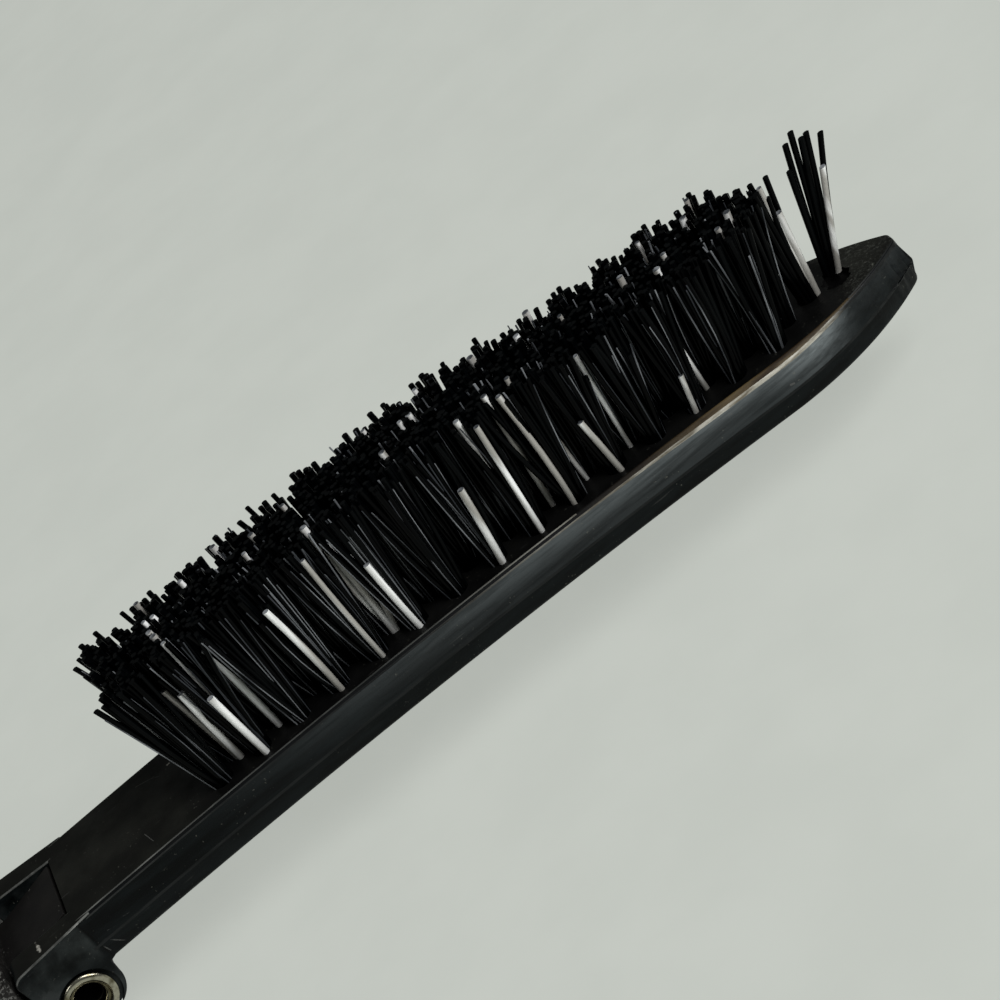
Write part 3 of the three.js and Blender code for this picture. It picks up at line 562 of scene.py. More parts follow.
def eyelet_metal():
    """Warm nickel, olive and dark in the rim's groove, partly tarnish and partly a painted dark
    reflection, and near black deep in the bore as painted shade.
    """
    paint = Paint("eyelet_nickel")
    squares = [paint.math("POWER", paint.along(axis), 2) for axis in "XZ"]
    radius = paint.math("SQRT", paint.math("ADD", *squares))
    stain = paint.ramp(paint.noise(0.9, detail=4), 0.38, 0.7)
    bright = paint.mix(stain, (0.4, 0.38, 0.3), (0.1, 0.088, 0.05))
    # Olive and dark in the rim's groove: tarnish and a painted dark reflection.
    tarnish_and_dark_reflection = paint.mix(stain, (0.11, 0.097, 0.055), (0.035, 0.03, 0.018))
    rim = paint.over(bright, tarnish_and_dark_reflection, paint.ramp(radius, 2, 1.85), paint.ramp(radius, 1.5, 1.68))
    # Near black deep in the bore: painted shade.
    bore = paint.ramp(paint.math("ABSOLUTE", paint.along("Y")), FLANGE_SEAT - 0.2, FLANGE_SEAT - 0.7)
    colour = paint.mix(bore, rim, (0.008, 0.0075, 0.006))
    rough = paint.ramp(bore, 0, 1, 0.2, 0.6)
    return paint.finish(colour, rough, paint.bump(paint.noise(0.3), 0.008), metallic=1)


def handle_plastic():
    """Pebbled plastic with pale pebble crowns as a painted highlight, smooth on the tongue between the
    ears.
    """
    paint = Paint("handle_plastic")
    pebbled = paint.ramp(paint.along("X"), -SHOULDER + 0.1, -SHOULDER - 0.3)
    patches = paint.ramp(paint.noise(7, detail=4), 0.35, 0.7)
    # Pale crowns on the pebbles: a painted highlight.
    highlit_crowns = paint.ramp(paint.noise(0.32, detail=2), 0.5, 0.64)
    colour = paint.mix(patches, (0.0055, 0.0052, 0.005), (0.0115, 0.0108, 0.01))
    colour = paint.over(colour, (0.1, 0.1, 0.092), highlit_crowns, pebbled, 0.85)
    colour = paint.over(colour, (0.2, 0.2, 0.18), dust(paint, 0.34, 0.03), 0.6)
    inputs = {"Vector": paint.place, "Scale": 1 / (PEBBLE_SIZE * MILLIMETRE)}
    pebbles = paint.node("ShaderNodeTexVoronoi", inputs, feature="SMOOTH_F1").outputs["Distance"]
    normal = paint.bump(paint.times(paint.ramp(pebbles, 0.6, 0), pebbled), PEBBLE_HEIGHT)
    normal = paint.bump(paint.noise(0.2), 0.012, normal)
    return paint.finish(colour, paint.ramp(patches, 0, 1, 0.42, 0.56), normal, level=0.09)


def smooth_plastic(name, dark, light):
    paint = Paint(name)
    patches = paint.ramp(paint.noise(3, detail=4), 0.35, 0.7)
    colour = paint.mix(patches, dark, light)
    colour = paint.over(colour, (0.09, 0.09, 0.085), scratches(paint, 0.2), 0.4)
    roughness = paint.ramp(patches, 0, 1, 0.36, 0.5)
    return paint.finish(colour, roughness, paint.bump(paint.noise(0.15), 0.01), level=0.2)


# Mesh helpers
def linked(name, data):
    """A new object in the scene."""
    made = bpy.data.objects.new(name, data)
    bpy.context.scene.collection.objects.link(made)
    return made


def body_of(name, points, faces, slots=None):
    """A closed mesh body, with its faces turned outward."""
    mesh = bpy.data.meshes.new(name)
    mesh.from_pydata(points, [], faces)
    if slots is not None:
        mesh.polygons.foreach_set("material_index", slots)
    shell = bmesh.new()
    shell.from_mesh(mesh)
    bmesh.ops.recalc_face_normals(shell, faces=shell.faces)
    shell.to_mesh(mesh)
    shell.free()
    return linked(name, mesh)


def even_steps(start, end, steps):
    return [start + (end - start) * i / steps for i in range(steps + 1)]


def lerp(start, end, share):
    return start + (end - start) * share


def clamp(value, low, high):
    return min(max(value, low), high)


def smooth(low, high, value):
    share = clamp((value - low) / (high - low), 0, 1)
    return share * share * (3 - 2 * share)


def rounded_in(radius, distance):
    """How far a round corner of that radius stands in, at a distance from its start."""
    inside = clamp(distance, 0, radius)
    return radius - sqrt(radius**2 - inside**2)


def arc(radius, centre, start, end, steps=ARC_STEPS):
    """Points of an arc between two angles in degrees."""
    turns = [radians(angle) for angle in even_steps(start, end, steps)]
    return [(centre[0] + radius * cos(a), centre[1] + radius * sin(a)) for a in turns]


def corner(y, z, before, after=None):
    """A corner of a section, and how far its rounding reaches along the two edges."""
    return (y, z, before, before if after is None else after)


def mirrored(half):
    other = [(-y, z, after, before) for y, z, before, after in reversed(half)]
    return [*half, *other]


def rounded(corners, steps=EDGE_STEPS):
    """The corners as a ring of points, each corner an arc."""
    ring = []
    for i, (y, z, before, after) in enumerate(corners):
        here = Vector((y, z))
        arriving = Vector(corners[i - 1][:2]) - here
        leaving = Vector(corners[(i + 1) % len(corners)][:2]) - here
        start = here + arriving.normalized() * min(before, arriving.length * CORNER_SHARE)
        end = here + leaving.normalized() * min(after, leaving.length * CORNER_SHARE)
        weight = sin(arriving.angle(leaving) / 2)
        for share in even_steps(0, 1, steps):
            parts = ((1 - share) ** 2, 2 * share * (1 - share) * weight, share**2)
            point = (start * parts[0] + here * parts[1] + end * parts[2]) / sum(parts)
            ring.append(tuple(point))
    return ring


def ring_faces(first, count, rows):
    """The faces between rings of points that follow one another, from the first point on."""
    for row in range(rows - 1):
        for i in range(count):
            a = first + row * count + i
            b = first + row * count + (i + 1) % count
            yield (a, b, b + count, a + count)


def loft(name, stations, section_at, slot_at=None):
    """A closed body through rings that stand across X."""
    rings = [section_at(x) for x in stations]
    count = len(rings[0])
    points = [(x, y, z) for x, ring in zip(stations, rings) for y, z in ring]
    ends = (tuple(reversed(range(count))), tuple(range(len(points) - count, len(points))))
    slots = None
    if slot_at:
        slots = [*(slot_at(x, i) for x in stations[:-1] for i in range(count)), 0, 0]
    return body_of(name, points, [*ring_faces(0, count, len(rings)), *ends], slots)


def prism(name, near, far):
    """A closed body between two rings of points."""
    count = len(near)
    ends = (tuple(range(count)), tuple(range(count, 2 * count)))
    return body_of(name, [*near, *far], [*ring_faces(0, count, 2), *ends])


def side_plate(name, outline, y0, y1):
    """An outline drawn in X and Z, made thick along Y."""
    return prism(name, *([(x, y, z) for x, z in outline] for y in (y0, y1)))


def block(name, low, high):
    outline = [(low[0], low[2]), (high[0], low[2]), (high[0], high[2]), (low[0], high[2])]
    return side_plate(name, outline, low[1], high[1])


def circle(radius, sides):
    """The spokes of a circle across Z."""
    angles = [2 * pi * i / sides for i in range(sides)]
    return [Vector((radius * cos(a), radius * sin(a), 0)) for a in angles]


def rods(name, rounds, sides=ROUND_SIDES):
    """Round bars, each given as its radius and the centres of its two ends."""
    points = []
    faces = []
    for radius, start, end in rounds:
        turn = (Vector(end) - Vector(start)).to_track_quat("Z", "Y").to_matrix()
        spokes = [turn @ spoke for spoke in circle(radius, sides)]
        first = len(points)
        points.extend(Vector(centre) + spoke for centre in (start, end) for spoke in spokes)
        faces.extend(ring_faces(first, sides, 2))
        faces.append(tuple(range(first, first + sides)))
        faces.append(tuple(range(first + sides, first + 2 * sides)))
    return body_of(name, points, faces)


def baked(piece):
    """The piece with its modifiers made part of its mesh."""
    depsgraph = bpy.context.evaluated_depsgraph_get()
    mesh = bpy.data.meshes.new_from_object(piece.evaluated_get(depsgraph))
    piece.modifiers.clear()
    piece.data = mesh
    return piece


def combine(piece, operation, tools):
    for tool in tools:
        if not tool.data.materials:
            dressed(tool, *piece.data.materials)
        modifier = piece.modifiers.new(operation.lower(), "BOOLEAN")
        modifier.operation = operation
        modifier.solver = "EXACT"
        modifier.object = tool
    baked(piece)
    for tool in tools:
        bpy.data.objects.remove(tool)


def join(piece, *tools):
    combine(piece, "UNION", tools)


def cut(piece, *tools):
    combine(piece, "DIFFERENCE", tools)


def add_bevel(piece, width, steps=EDGE_STEPS, slot=-1):
    """Rounds the piece's sharp edges."""
    modifier = piece.modifiers.new("eased", "BEVEL")
    modifier.width = width
    modifier.segments = steps
    modifier.limit_method = "ANGLE"
    modifier.angle_limit = radians(SHARP_DEGREES)
    modifier.material = slot


def keep_flat(piece):
    """Keeps flat faces flat under smooth shading."""
    piece.modifiers.new("flat_faces", "WEIGHTED_NORMAL").keep_sharp = True


def dressed(piece, *materials):
    for material in materials:
        piece.data.materials.append(material)
    return piece


def in_slot(piece, finish, slot):
    """Gives every face of a tool the same one of the piece's materials."""
    dressed(piece, *finish)
    piece.data.polygons.foreach_set("material_index", [slot] * len(piece.data.polygons))
    return piece


def shaded(piece, degrees=SHARP_DEGREES):
    """Smooth shading between sharp edges."""
    piece.data.shade_smooth()
    piece.data.set_sharp_from_angle(angle=radians(degrees))
    keep_flat(piece)
    return piece


def put(piece, body, slot, *nodes):
    """Puts a finished piece on its body, in the place of its nodes."""
    piece.data.transform(PLACEMENT)
    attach(piece, body)
    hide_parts(*nodes)


# Head plate
NOSE_START = HEAD_REACH - NOSE_LENGTH
NOSE_NARROWING = (HEAD_WIDTH - NOSE_END_WIDTH) / 2
NOSE_RADIUS = (NOSE_LENGTH**2 + NOSE_NARROWING**2) / (2 * NOSE_NARROWING)


def back_height(x):
    return BACK_RISE - (x - ARCH_CREST) ** 2 / (2 * ARCH_RADIUS)


def top_height(x):
    share = max(0, (x - NOSE_START) / NOSE_LENGTH)
    return back_height(x) + HEAD_THICKNESS - NOSE_THINNING * share**2


def head_half_width(x):
    end = rounded_in(NOSE_CORNER, x - (HEAD_REACH - NOSE_CORNER))
    return HEAD_WIDTH / 2 - rounded_in(NOSE_RADIUS, x - NOSE_START) - end


def head_section(x):
    half = head_half_width(x)
    side = max(half - SIDE_DRAFT, half / 2)
    end_top = rounded_in(NOSE_TOP_ROUND, x - (HEAD_REACH - NOSE_TOP_ROUND))
    end_back = rounded_in(NOSE_BACK_ROUND, x - (HEAD_REACH - NOSE_BACK_ROUND))
    back = back_height(x) + end_back * 0.8
    top = top_height(x) - end_top * 0.9
    rise = smooth(*CRESCENT_RISE, x)
    nose = smooth(*CRESCENT_FADE, x)
    crescent = lerp(TOP_BEVEL, CRESCENT_BEVEL, rise)
    bevel = min(lerp(crescent, NOSE_BEVEL, nose), side * 0.8)
    edge = lerp(TOP_EDGE, WORN_EDGE, rise)
    ring = mirrored(
        [
            corner(side, back, BACK_EDGE),
            corner(half, back_height(x) + RIDGE_RISE, RIDGE_EDGE),
            corner(side, top - bevel, edge),
            corner(side - bevel, top, TOP_EDGE),
        ]
    )
    far_bevel = lerp(bevel, NOSE_FAR_BEVEL, nose)
    ring[2] = corner(side, top - far_bevel, far_bevel / 3)
    ring[3] = corner(side - far_bevel, top, far_bevel / 3)
    return ring


def head_slot(x, segment):
    """The material of each band of the head: its edges, worn and with painted highlights, the bevel at
    the nose and the rest.
    """
    number, step = divmod(segment, EDGE_STEPS + 1)
    if step == EDGE_STEPS:
        return CRESCENT if number in (2, 4) else PLASTIC
    if number in (3, 4) and CRESCENT_RISE[0] < x < CRESCENT_FADE[1]:
        return CRESCENT
    return EDGE if 1 <= number <= 6 else PLASTIC


def head_stations():
    corner_start = HEAD_REACH - NOSE_CORNER
    places = (FORK_DEPTH, NOSE_START, FLASH_START, corner_start)
    stations = [FORK_DEPTH]
    for start, end, steps in zip(places, places[1:], HEAD_STEPS):
        stations.extend(even_steps(start, end, steps)[1:])
    turns = even_steps(0, 84, HEAD_STEPS[-1])[1:]
    return [*stations, *(corner_start + NOSE_CORNER * sin(radians(a)) for a in turns)]


def ear_outline():
    top = top_height(EAR_CREASE)
    inner = EAR_CREASE + EAR_OVERLAP
    return [
        (inner, back_height(inner) + EAR_OVERLAP / 4),
        (inner, top),
        *arc(EAR_CORNER, (EAR_CORNER - EAR_END, top - EAR_CORNER), 90, 175, 6),
        (-EAR_FOOT, top - EAR_CORNER - LUG_RADIUS),
        *arc(LUG_RADIUS, (-LUG_REAR, LUG_RISE), 180, 270),
        *arc(LUG_RADIUS, (LUG_FRONT, LUG_RISE), 270, 360),
        (EAR_CREASE, back_height(EAR_CREASE)),
    ]


def ear(side, finish):
    """One side of the fork, bent outward behind its crease."""
    inner = FORK_SLOT / 2
    outer = HEAD_WIDTH / 2 - EAR_INSET
    piece = dressed(side_plate("ear", ear_outline(), inner, outer), *finish)
    for vertex in piece.data.vertices:
        behind = EAR_CREASE - vertex.co.x
        if vertex.co.y > inner + CUT_MARGIN:
            vertex.co.y = outer + OUTER_FLARE_SLOPES[side] * behind
        else:
            vertex.co.y += INNER_FLARE_SLOPE * max(behind, 0)
            if vertex.co.z < back_height(EAR_CREASE) + LUG_RISE:
                vertex.co.x -= LUG_DRAFT * smooth(0, 1, (vertex.co.x - LUG_FRONT) / LUG_RADIUS)
        vertex.co.y *= side
    if side < 0:
        piece.data.flip_normals()
    add_bevel(piece, EAR_EDGE, slot=EDGE)
    return baked(piece)


def row_offset(side, x):
    return side * (head_half_width(x) - ROW_TO_EDGE)


def tuft_places(setback):
    count = 1 + math.floor((HEAD_REACH - setback - FIRST_TUFT) / TUFT_PITCH)
    return [FIRST_TUFT + i * TUFT_PITCH for i in range(count)]


def between_rows():
    """Tufts that stand in the gaps of the three rows."""
    staggered = [x + TUFT_PITCH / 2 for x in tuft_places(EDGE_ROW_SETBACK)]
    return [(x, row_offset(side, x) / 2) for x in staggered for side in (-1, 1)]


MIDDLE_TUFTS = [(x, 0) for x in tuft_places(MIDDLE_ROW_SETBACK)[:-1]]
ROWS = {
    "bristles_near_row": [(x, row_offset(-1, x)) for x in tuft_places(EDGE_ROW_SETBACK)],
    "bristles_middle_row": [*MIDDLE_TUFTS, LAST_TUFT, *between_rows()],
    "bristles_far_row": [(x, row_offset(1, x)) for x in tuft_places(EDGE_ROW_SETBACK)],
    "bristles_tip_tuft": [TIP_TUFT],
}
BLACK, PALE, GREY = range(3)


def tuft_holes():
    rounds = []
    for x, y in (place for row in ROWS.values() for place in row if place != TIP_TUFT):
        surface = top_height(x)
        rounds.append((HOLE_RADIUS, (x, y, surface - HOLE_DEPTH), (x, y, surface + CUT_MARGIN)))
    return rods("tuft_holes", rounds, TUFT_HOLE_SIDES)


def ragged_hole():
    """The hole of the tip tuft, with a broken rim."""
    chance = random.Random(SEED)
    x, y = TIP_TUFT
    surface = top_height(x)
    ring = []
    for degrees in range(0, 360, 12):
        angle = radians(degrees)
        reach = HOLE_RADIUS * chance.uniform(*TIP_HOLE_RIM)
        if degrees < 180:
            reach *= lerp(1, TIP_HOLE_STRETCH, sin(angle))
        ring.append((x + reach * cos(angle), y + reach * sin(angle)))
    levels = (surface - HOLE_DEPTH, surface + CUT_MARGIN)
    return prism("ragged_hole", *([(a, b, z) for a, b in ring] for z in levels))


def bolt_way(name, rear, front):
    """The room in which the bolt slides."""
    half = BOLT_WIDTH / 2 + SEAT_GAP
    top = BOLT_BOTTOM + BOLT_THICKNESS + SEAT_GAP
    return block(name, (rear, -half, BOLT_BOTTOM - SEAT_GAP), (front, half, top))


def barrel_hole():
    width = HANDLE_WIDTH
    return rods("barrel_hole", [(EYELET_BARREL / 2 + TURNING_GAP, (0, -width, 0), (0, width, 0))])


def flange_holes():
    radius = EYELET_FLANGE / 2 + EYELET_RING
    ends = [((0, side * FLANGE_SEAT, 0), (0, side * HANDLE_WIDTH, 0)) for side in (-1, 1)]
    return rods("flange_holes", [(radius, *end) for end in ends])


def raise_flash(piece):
    """Small burrs on the parting line, where the tip was trimmed."""
    chance = random.Random(SEED)
    for vertex in piece.data.vertices:
        x, y, z = vertex.co
        ridge = back_height(x) + RIDGE_RISE
        if x > FLASH_START and abs(z - ridge) < 2 * RIDGE_EDGE:
            size = FLASH_SIZE * smooth(FLASH_START, FLASH_START + 1.5, x) * chance.uniform(0, 1) ** 1.5
            forward = smooth(FLASH_START, HEAD_REACH, x)
            vertex.co.x += size * forward
            vertex.co.y += math.copysign(size * (1 - forward / 2), y)
            vertex.co.z += size / 2


def brush_head(finish):
    piece = loft("head_plate", head_stations(), lambda x: rounded(head_section(x)), head_slot)
    raise_flash(piece)
    dressed(piece, *finish)
    join(piece, ear(-1, finish), ear(1, finish))
    pocket = bolt_way("bolt_pocket", FORK_DEPTH - CUT_MARGIN, FORK_DEPTH - SEAT_GAP + BOLT_TRAVEL)
    holes = [in_slot(hole, finish, HOLE) for hole in (tuft_holes(), ragged_hole())]
    cut(piece, barrel_hole(), flange_holes(), pocket, *holes)
    put(shaded(piece), "head", "head_plastic", "brush_head")


# Bristles
def strand_rings(root, tip, bow, radius):
    """Rings along one strand, from its root to its cut end."""
    spokes = circle(radius, STRAND_SIDES)
    rings = []
    for share in even_steps(0, 1, STRAND_STEPS):
        centre = root.lerp(tip, share) + bow * (4 * share * (1 - share))
        rings.append([centre + spoke for spoke in spokes])
    return rings


def add_strand(points, faces, slots, rings, slot):
    """Adds a strand to a row. The cut end of a pale one is grey."""
    first = len(points)
    sides = len(rings[0])
    for ring in rings:
        points.extend(ring)
    last = len(points) - sides
    faces.extend(ring_faces(first, sides, len(rings)))
    faces.append(tuple(reversed(range(first, first + sides))))
    faces.append(tuple(range(last, last + sides)))
    slots.extend([slot] * (last - first))
    slots.extend((slot, GREY if slot == PALE else slot))


def strand_kind(chance):
    draw = chance.random()
    if draw < PALE_SHARE:
        return PALE, PALE_RADIUS
    if draw < PALE_SHARE + THIN_SHARE:
        return GREY, THIN_RADIUS
    return BLACK, BLACK_RADIUS


def front_pales(chance, x, y):
    """Which strands of a tuft at the near edge, past the first, are the pale ones in front."""
    if y > -2 * HOLE_RADIUS or x == FIRST_TUFT:
        return []
    in_front = [i for i in range(TUFT_STRANDS) if seed_place(i)[1] < -HOLE_RADIUS / 2]
    return [chance.choice(in_front) for share in FRONT_PALE_CHANCES if chance.random() < share]


def seed_place(i):
    """The place of a strand in its tuft, laid out as a sunflower's seeds are."""
    reach = (HOLE_RADIUS - BLACK_RADIUS[0]) * sqrt((i + 0.5) / TUFT_STRANDS)
    angle = i * pi * (3 - sqrt(5))
    return reach * cos(angle), reach * sin(angle)


def tuft_strands(chance, x, y):
    """The rings and the slot of each strand of a tuft."""
    surface = top_height(x)
    length = lerp(*BRISTLE_LENGTHS, smooth(*TRIM_STEP, x))
    is_first = x == FIRST_TUFT
    is_last = (x, y) == LAST_TUFT
    share = (x - FIRST_TUFT) / (HEAD_REACH - MIDDLE_ROW_SETBACK - FIRST_TUFT)
    lean = LAST_LEAN_DEGREES if is_last else lerp(*LEAN_DEGREES, share)
    spread = LAST_SPREAD if is_last else SPREAD_ALONG
    forward = length * math.tan(radians(lean)) - (FIRST_FAN if is_first else 0)
    glint_share = lerp(GLINT_SHARE, GLINT_SHARE / 4, smooth(*GLINT_FADE, x))
    pales = front_pales(chance, x, y)
    for i in range(TUFT_STRANDS):
        along, across = seed_place(i)
        root = Vector((x + along, y + across, surface - HOLE_DEPTH / 2))
        trim = chance.uniform(*TRIM_SPREAD)
        if chance.random() < SHORT_SHARE and not is_first:
            trim -= chance.uniform(SHORT_CUT[0], SHORT_CUT[1] * length)
        wander = STRAY_REACH if chance.random() < STRAY_SHARE and not is_first else WANDER
        ahead = clamp(chance.gauss(0, wander), -STRAY_REACH, STRAY_REACH)
        aside = chance.gauss(0, min(wander, WANDER_ACROSS))
        tip_x = x + along * spread + forward + ahead
        tip = Vector((tip_x, y + across * SPREAD_ACROSS + aside, surface + length + trim))
        bow = Vector((chance.gauss(0, BOW_ALONG), chance.gauss(0, BOW_ACROSS), 0))
        slot, radii = (PALE, PALE_RADIUS) if i in pales else strand_kind(chance)
        if is_first:
            slot, radii = BLACK, BLACK_RADIUS
        radius = chance.uniform(*radii)
        if i in pales:
            tip.z -= chance.uniform(PALE_CUT[0], PALE_CUT[1] * length)
            root.y -= radius
            tip.y -= 2 * radius
            bow *= PALE_BOW
        elif slot == PALE:
            tip.z = surface + length + PALE_PROUD
            tip.y -= radius
        yield strand_rings(root, tip, bow, radius), slot
        if slot == BLACK and across < 0 and chance.random() < glint_share:
            side = chance.choice((-GLINT_ASIDE, GLINT_ASIDE))
            shift = Vector((side * radius, -GLINT_IN_FRONT * radius, 0))
            end = tip.lerp(root, chance.uniform(*GLINT_CUT))
            yield strand_rings(root + shift, end + shift, bow, chance.uniform(*GLINT_RADIUS)), GREY
    if is_last:
        root = Vector((x + LAST_PALE_ROOT[0], y + LAST_PALE_ROOT[1], surface - HOLE_DEPTH / 2))
        tip = Vector((x + LAST_PALE_TIP[0], y + LAST_PALE_TIP[1], surface + LAST_PALE_LENGTH))
        yield strand_rings(root, tip, Vector((0, 0, 0)), PALE_RADIUS[1]), PALE


def tip_strands(chance, x, y):
    """The few thick strands at the tip, side by side, with a pale one among them."""
    surface = top_height(x)
    x += TIP_STAND[0]
    y += TIP_STAND[1]
    for i, share in enumerate(even_steps(-1, 1, TIP_STRANDS - 1)):
        lean = TIP_LEAN_DEGREES + TIP_FAN_DEGREES * share
        pale = i == TIP_STRANDS - 2
        cut_off = TIP_SHORT_CUT if pale or i == 0 else 0
        length = TIP_BRISTLE_LENGTH + chance.uniform(*TIP_TRIM) - cut_off
        length -= TIP_FRONT_CUT * max(0, share)
        across = chance.uniform(-TIP_WANDER, TIP_WANDER) - (TIP_PALE_SHIFT if pale else 0)
        root = Vector((x + TIP_ROW[0] * share, y + across + TIP_ROW[1] * share, surface - TIP_SINK))
        forward = length * math.tan(radians(lean))
        tip = Vector((root.x + forward, root.y + across / 2, surface + length))
        bow = Vector((chance.gauss(0, TIP_BOW), 0, 0))
        yield strand_rings(root, tip, bow, TIP_STRAND_RADIUS), PALE if pale else BLACK


def bristles(name, finish):
    chance = random.Random(f"{name}{SEED}")
    points = []
    faces = []
    slots = []
    for x, y in ROWS[name]:
        strands = tip_strands if (x, y) == TIP_TUFT else tuft_strands
        for rings, slot in strands(chance, x, y):
            add_strand(points, faces, slots, rings, slot)
    piece = body_of(name.replace("bristles", "strands"), points, faces, slots)
    dressed(piece, *finish)
    put(shaded(piece, STRAND_SHARP_DEGREES), "head", "bristle_nylon", name)


# Hinge eyelet: a tube with its ends rolled outward
def eyelet_profile():
    """Half of the tube's wall and its rolled rim, from the outside over the rim and into the bore."""
    bore = EYELET_BORE / 2
    barrel = EYELET_BARREL / 2
    seat = FLANGE_SEAT + SEAT_GAP
    crest = seat + FLANGE_THICKNESS
    middle = EYELET_FLANGE / 2 - EYELET_ROLL
    groove = crest - EYELET_GROOVE
    profile = [(barrel, seat - 0.2), (barrel + 0.1, seat)]
    for angle in even_steps(-30, 90, 10):
        turn = radians(angle)
        rise = FLANGE_THICKNESS * (0.5 + sin(turn)) / 1.5
        profile.append((middle + EYELET_ROLL * cos(turn), seat + rise))
    for share in even_steps(0, 1, 6)[1:]:
        profile.append((lerp(middle, EYELET_THROAT, share), crest - EYELET_GROOVE * smooth(0, 1, share)))
    for angle in even_steps(90, 180, 10)[1:]:
        turn = radians(angle)
        radius = EYELET_THROAT + (EYELET_THROAT - bore) * cos(turn)
        profile.append((radius, groove - EYELET_FUNNEL * (1 - sin(turn))))
    return profile


def hinge_eyelet(metal):
    half = eyelet_profile()
    profile = half + [(radius, -y) for radius, y in reversed(half)]
    count = len(profile)
    points = []
    for side in range(ROUND_SIDES):
        angle = 2 * pi * side / ROUND_SIDES
        points.extend((radius * cos(angle), y, radius * sin(angle)) for radius, y in profile)
    last = len(points) - count
    closing = [(last + i, last + (i + 1) % count, (i + 1) % count, i) for i in range(count)]
    piece = body_of("eyelet_ring", points, [*ring_faces(0, count, ROUND_SIDES), *closing])
    dressed(piece, metal)
    put(shaded(piece, EYELET_SHARP_DEGREES), "head", "eyelet_metal", "hinge_eyelet")


# Handle
def tail_distance(x):
    return -x - (HANDLE_REACH - TAIL_RADIUS)


def handle_half_width(x):
    swell = smooth(SHOULDER, HANDLE_REACH / 2, -x)
    width = lerp(SHOULDER_WIDTH, HANDLE_WIDTH, swell)
    return width / 2 - rounded_in(TAIL_RADIUS, tail_distance(x))


def handle_top(x):
    along = clamp(tail_distance(x) / TAIL_RADIUS, 0, 1)
    return HANDLE_RISE - TAIL_LIFT * (1 - sqrt(1 - along**2))


def handle_stations(start, end):
    """From the far end of the handle to its shoulder."""
    tail_start = -(HANDLE_REACH - TAIL_RADIUS)
    body = even_steps(start, tail_start, HANDLE_STEPS[0])
    turns = even_steps(0, 85, HANDLE_STEPS[1])[1:]
    tail = [tail_start - TAIL_RADIUS * sin(radians(a)) for a in turns]
    return [*body, *(x for x in tail if x > end), end][::-1]


def frame_section(x):
    half = handle_half_width(x)
    lift = rounded_in(BASE_CORNER, -x - (HANDLE_REACH - BASE_CORNER))
    base = corner(half, -BASE_DROP + lift, min(BASE_CORNER, half / 2))
    return rounded(mirrored([base, corner(half, SEAM_RISE, SEAM_EDGE)]), CROWN_STEPS // 2)


def cover_section(x):
    half = handle_half_width(x)
    top = handle_top(x)
    crown = min(CROWN_WIDTH, half - STEM_WIDTH / 2)
    drop = min(CROWN_DROP, top - SEAM_RISE - 2 * SEAT_GAP)
    foot = corner(half, SEAM_RISE + SEAT_GAP, SEAM_EDGE)
    return rounded(mirrored([foot, corner(half, top, drop, crown)]), CROWN_STEPS)


def cavity():
    stations = handle_stations(-SHOULDER - FRONT_WALL, -HANDLE_REACH + TAIL_WALL)

    def section(x):
        half = handle_half_width(x) - HANDLE_WALL
        ceiling = handle_top(x) - HANDLE_WALL
        floor = corner(half, CAVITY_FLOOR, 0.2)
        return rounded(mirrored([floor, corner(half, ceiling, CROWN_DROP / 2, CROWN_WIDTH / 2)]), 4)

    return loft("cavity", stations, section)


def nest_channel():
    stations = [-x for x in head_stations()][::-1]
    stations[0] = -HEAD_REACH - NEST_GAP
    stations.append(-FORK_DEPTH + CUT_MARGIN)

    def section(x):
        along = clamp(-x, FORK_DEPTH, HEAD_REACH - NOSE_CORNER)
        half = head_half_width(along) + NEST_GAP
        ceiling = -back_height(along) + NEST_GAP
        bottom = -BASE_DROP - CUT_MARGIN
        return rounded(mirrored([corner(half, bottom, 0.2), corner(half, ceiling, CHANNEL_EDGE)]))

    return loft("channel", stations, section)


def tongue_outline():
    end = FORK_DEPTH - SEAT_GAP
    first = math.degrees(math.acos(TONGUE_DROP / TONGUE_NOSE)) - 90
    return [
        (end, 0),
        (end, top_height(EAR_CREASE)),
        (-TONGUE_RAMP_END, TONGUE_LOW),
        (-TONGUE_ROOT, TONGUE_LOW),
        (-TONGUE_ROOT, -TONGUE_UNDER),
        (-TONGUE_RAMP_END, -TONGUE_UNDER),
        (-TONGUE_HEEL, -TONGUE_DROP),
        *arc(TONGUE_NOSE, (0, 0), first, 0)[:-1],
    ]


def screw_rods(name, radius, bottom, top, sides=ROUND_SIDES):
    """Upright rods at the places of the cover's screws."""
    return rods(name, [(radius, (-x, 0, bottom), (-x, 0, top)) for x in COVER_SCREWS], sides)


def handle_frame(finish):
    piece = loft("frame_shell", handle_stations(-SHOULDER, -HANDLE_REACH), frame_section)
    cut(dressed(piece, finish), cavity())
    half = FORK_SLOT / 2 - SEAT_GAP
    tongue = side_plate("tongue", tongue_outline(), -half, half)
    add_bevel(tongue, TONGUE_EDGE)
    boss_top = CAVITY_FLOOR + FRAME_BOSS_HEIGHT
    join(piece, baked(tongue), screw_rods("frame_bosses", BOSS_DIAMETER / 2, 0, boss_top))
    tunnel = bolt_way("bolt_tunnel", -BOLT_TAIL, FORK_DEPTH + CUT_MARGIN)
    thread = SCREW_THREAD / 2 + SEAT_GAP
    threads = screw_rods("threads", thread, -BASE_DROP, boss_top + CUT_MARGIN, THREAD_SIDES)
    heads = []
    for x in COVER_SCREWS:
        seat = -back_height(x) + NEST_GAP + SCREW_RECESS + SCREW_HEAD_HEIGHT
        heads.append((SCREW_HEAD / 2 + SEAT_GAP, (-x, 0, -BASE_DROP), (-x, 0, seat + SEAT_GAP)))
    cut(piece, nest_channel(), tunnel, barrel_hole(), threads, rods("heads", heads, SCREW_HEAD_SIDES))
    put(shaded(piece), "handle", "handle_plastic", "handle_frame")


